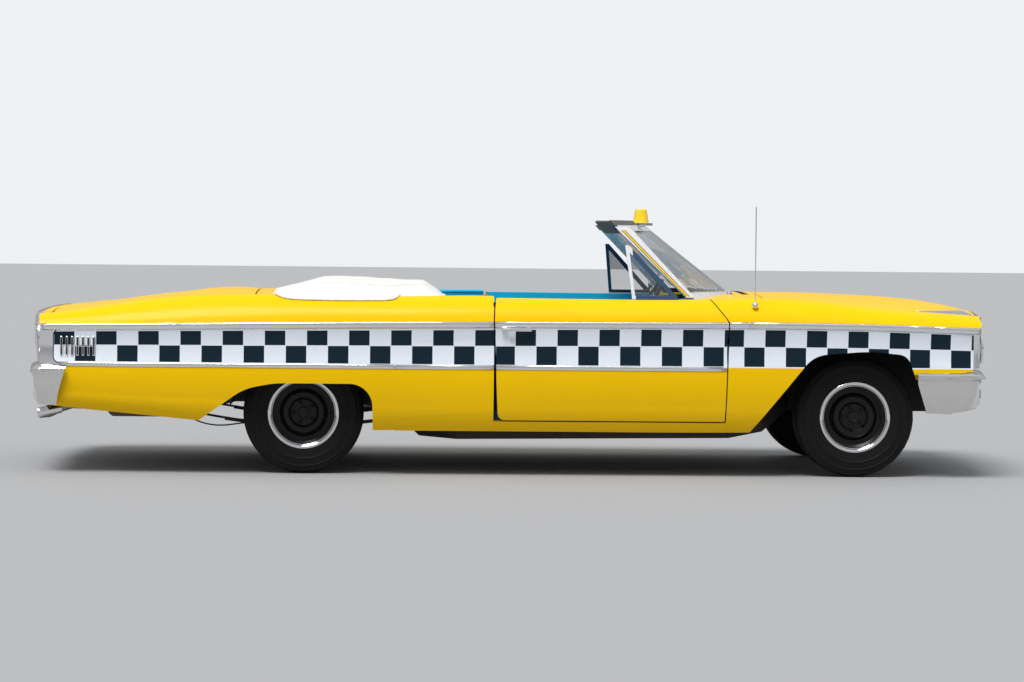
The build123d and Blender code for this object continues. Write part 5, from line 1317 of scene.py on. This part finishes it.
def cowl_and_lids(cab):
    """Cowl louvres and the trunk's lock."""
    skin = Skin("cowl")
    bm = bmesh.new()
    for k in range(22):
        spot = skin.spot((1.325, -0.42 + k * 0.04, 1.3), (0, 0, -1))
        block(bm, spot - Vector((0, 0, 0.001)), (0.040, 0.010, 0.005), 0.002, 2)
    piece("cowl_louvres", bm, "rubber", "body")
    bm = bmesh.new()
    lock = Skin("trunk_lid").spot((-3.2, 0.0, 0.872), (1, 0, 0))
    spun(bm, [(0.0, 0.005), (0.012, 0.004), (0.018, 0.002), (0.020, -0.003), (0.0, -0.003)],
         laid(lock, (-1, 0, 0)), 28, False)
    piece("trunk_lock", bm, "chrome", "trunk_lid")


def suspension_springs(cab):
    """The coil springs of the front suspension."""
    coil, turns, steps = 0.052, 6, 16
    bm = bmesh.new()
    for side in (-1, 1):
        points = []
        for k in range(turns * steps + 1):
            a = 2 * math.pi * k / steps
            points.append((FRONT_AXLE + coil * math.cos(a), side * 0.535 + coil * math.sin(a),
                           0.300 + 0.0019 * k))
        tube(bm, points, 0.0065, 6)
    piece("coil_springs", bm, "black", "body", 60)


# The sky's light by height, from the horizon at 0 to straight up at 1
SKY_STOPS = ((0.0, 0.30), (0.06, 0.42), (0.30, 0.62), (1.0, 0.90))
# The camera's place, and its turns in degrees: to the front, downwards and about its own line of sight
CAMERA_PLACE = (-0.7365, -18.264, 1.347)
CAMERA_YAW, CAMERA_PITCH, CAMERA_ROLL = 2.4184, 2.0168, 0.5783


def stage(cab):
    """Floor, soft light and the camera."""
    scene = bpy.context.scene
    finish = Finish("Floor", roughness=0.9)
    far_tone = darker(cab.stage.floor, 0.985)
    finish.give(base_color=finish.colours(finish.wear(0.8), tuple(cab.stage.floor), far_tone))
    bm = bmesh.new()
    bmesh.ops.create_grid(bm, x_segments=1, y_segments=1, size=90.0)
    floor = linked("floor", bm)
    floor.data.materials.append(finish.material)
    light_sky(scene, cab.stage.sky)
    key = bpy.data.lights.new("Key", "SUN")
    key.energy, key.angle = cab.stage.sun, math.radians(28)
    lamp = bpy.data.objects.new("Key", key)
    lamp.rotation_mode = "QUATERNION"
    lamp.rotation_quaternion = Vector((-0.25, -0.45, 1.0)).to_track_quat("Z", "Y")
    scene.collection.objects.link(lamp)
    aim_camera(scene, cab.stage.lens)
    scene.view_settings.view_transform = "Standard"


def light_sky(scene, strength):
    """A pale backdrop for the camera, and a light that grows with height for everything else."""
    world = bpy.data.worlds.new("Studio")
    world.use_nodes = True
    scene.world = world
    sky = Shader(world.node_tree)
    sky.tree.nodes.clear()
    ray = sky.node("ShaderNodeTexCoord", output="Generated")
    height = sky.node("ShaderNodeSeparateXYZ", None, {0: ray}, "Z")
    stops = [(place, (level * 0.94, level * 0.97, level, 1)) for place, level in SKY_STOPS]
    shade = sky.node("ShaderNodeValToRGB", {"stops": stops}, {0: height})
    light = sky.node("ShaderNodeBackground", None, {0: shade, 1: strength})
    backdrop = sky.node("ShaderNodeBackground", None, {0: (0.86, 0.88, 0.90, 1)})
    seen = sky.node("ShaderNodeLightPath", output="Is Camera Ray")
    both = sky.node("ShaderNodeMixShader", None, {0: seen, 1: light, 2: backdrop})
    sky.plug(sky.tree.nodes.new("ShaderNodeOutputWorld").inputs[0], both)


def aim_camera(scene, lens):
    """The camera at the photographer's place."""
    data = bpy.data.cameras.new("Camera")
    data.sensor_width, data.lens = 36.0, lens
    data.clip_start, data.clip_end = 0.5, 300
    camera = bpy.data.objects.new("Camera", data)
    yaw, pitch, roll = (math.radians(turn) for turn in (CAMERA_YAW, CAMERA_PITCH, CAMERA_ROLL))
    ahead = Vector((math.sin(yaw) * math.cos(pitch), math.cos(yaw) * math.cos(pitch), -math.sin(pitch)))
    across = Vector((math.cos(yaw), -math.sin(yaw), 0))
    up = across.cross(ahead)
    right = across * math.cos(roll) + up * math.sin(roll)
    above = up * math.cos(roll) - across * math.sin(roll)
    place = Matrix((right, above, -ahead)).transposed().to_4x4()
    place.translation = Vector(CAMERA_PLACE)
    camera.matrix_world = place
    scene.collection.objects.link(camera)
    scene.camera = camera


# Operators, panel and registering


class CabStep:
    """What each step of the cab shares."""

    bl_options = {"REGISTER", "UNDO"}
    work = None

    def execute(self, context):
        type(self).work(context.scene.cab)
        return {"FINISHED"}


class CAB_OT_finishes(CabStep, bpy.types.Operator):
    """Mix the cab's paints, metals, glass, rubber and cloth"""

    bl_idname, bl_label = "cab.finishes", "Mix finishes"
    work = mix_finishes


class CAB_OT_frame(CabStep, bpy.types.Operator):
    """Give every part of the frame its finish"""

    bl_idname, bl_label = "cab.frame", "Dress frame"
    work = dress_frame


class CAB_OT_shapes(CabStep, bpy.types.Operator):
    """Shape the bumpers, the fenders' tips and the tail pipe"""

    bl_idname, bl_label = "cab.shapes", "Bumpers and tips"
    work = shapes


class CAB_OT_mouldings(CabStep, bpy.types.Operator):
    """Add the bright mouldings along the sides"""

    bl_idname, bl_label = "cab.mouldings", "Side mouldings"
    work = side_mouldings


class CAB_OT_bars(CabStep, bpy.types.Operator):
    """Add the upright bars on the rear quarters"""

    bl_idname, bl_label = "cab.bars", "Flank bars"
    work = flank_bars


class CAB_OT_spears(CabStep, bpy.types.Operator):
    """Add the spears on the fender tops"""

    bl_idname, bl_label = "cab.spears", "Fender spears"
    work = fender_spears


class CAB_OT_doors(CabStep, bpy.types.Operator):
    """Add locks, armrests, cranks, linings and seals to the doors"""

    bl_idname, bl_label = "cab.doors", "Door furniture"
    work = door_furniture


class CAB_OT_wheels(CabStep, bpy.types.Operator):
    """Add trim rings, nuts and treaded tyres"""

    bl_idname, bl_label = "cab.wheels", "Wheels and tyres"
    work = wheel_dress


class CAB_OT_lamps(CabStep, bpy.types.Operator):
    """Add the lamps' bezels, bowls and surrounds"""

    bl_idname, bl_label = "cab.lamps", "Lamps"
    work = lamp_rings


class CAB_OT_ends(CabStep, bpy.types.Operator):
    """Add plates, bolts, parking lamps and the tail's lip"""

    bl_idname, bl_label = "cab.ends", "End trim"
    work = end_trim


class CAB_OT_windshield(CabStep, bpy.types.Operator):
    """Add wipers, mirrors and latches"""

    bl_idname, bl_label = "cab.windshield", "Windshield trim"
    work = windshield_trim


class CAB_OT_dash(CabStep, bpy.types.Operator):
    """Add dials, radio, levers, pedals and the horn ring"""

    bl_idname, bl_label = "cab.dash", "Dashboard fittings"
    work = dash_fittings


class CAB_OT_seats(CabStep, bpy.types.Operator):
    """Add the padded benches"""

    bl_idname, bl_label = "cab.seats", "Seats"
    work = seats


class CAB_OT_cover(CabStep, bpy.types.Operator):
    """Add the cover over the folded top"""

    bl_idname, bl_label = "cab.cover", "Boot cover"
    work = boot_cover


class CAB_OT_cowl(CabStep, bpy.types.Operator):
    """Add cowl louvres and the trunk lock"""

    bl_idname, bl_label = "cab.cowl", "Cowl and lids"
    work = cowl_and_lids


class CAB_OT_springs(CabStep, bpy.types.Operator):
    """Add the front coil springs"""

    bl_idname, bl_label = "cab.springs", "Springs"
    work = suspension_springs


class CAB_OT_stage(CabStep, bpy.types.Operator):
    """Add the floor, the light and the camera"""

    bl_idname, bl_label = "cab.stage", "Stage"
    work = stage


class CabSettings(bpy.types.PropertyGroup):
    paint: bpy.props.PointerProperty(type=CabPaint, name="Paint", description="Body colours and squares")
    trim: bpy.props.PointerProperty(type=CabTrim, name="Trim", description="Linings and bright trim")
    cloth: bpy.props.PointerProperty(type=CabCloth, name="Cloth", description="Seats and cover")
    stage: bpy.props.PointerProperty(type=CabStage, name="Stage", description="Floor, light and lens")


STEPS = (CAB_OT_finishes, CAB_OT_frame, CAB_OT_shapes, CAB_OT_mouldings, CAB_OT_bars, CAB_OT_spears,
         CAB_OT_doors, CAB_OT_wheels, CAB_OT_lamps, CAB_OT_ends, CAB_OT_windshield, CAB_OT_dash, CAB_OT_seats,
         CAB_OT_cover, CAB_OT_cowl, CAB_OT_springs, CAB_OT_stage)


class CAB_PT_panel(bpy.types.Panel):
    """Lists the cab's settings and steps"""

    bl_idname, bl_label = "CAB_PT_panel", "Taxi cab"
    bl_space_type, bl_region_type, bl_category = "VIEW_3D", "UI", "Taxi cab"

    def draw(self, context):
        cab = context.scene.cab
        for group in (cab.paint, cab.trim, cab.cloth, cab.stage):
            box = self.layout.box()
            for name in group.bl_rna.properties.keys():
                if name not in ("rna_type", "name"):
                    box.prop(group, name)
        for step in STEPS:
            self.layout.operator(step.bl_idname)


CLASSES = (CabPaint, CabTrim, CabCloth, CabStage, CabSettings, *STEPS, CAB_PT_panel)


def register():
    for part in CLASSES:
        bpy.utils.register_class(part)
    bpy.types.Scene.cab = bpy.props.PointerProperty(type=CabSettings)


def unregister():
    del bpy.types.Scene.cab
    for part in reversed(CLASSES):
        bpy.utils.unregister_class(part)


def main():
    register()
    for step in STEPS:
        family, word = step.bl_idname.split(".")
        getattr(getattr(bpy.ops, family), word)()


if __name__ == "__main__":
    main()
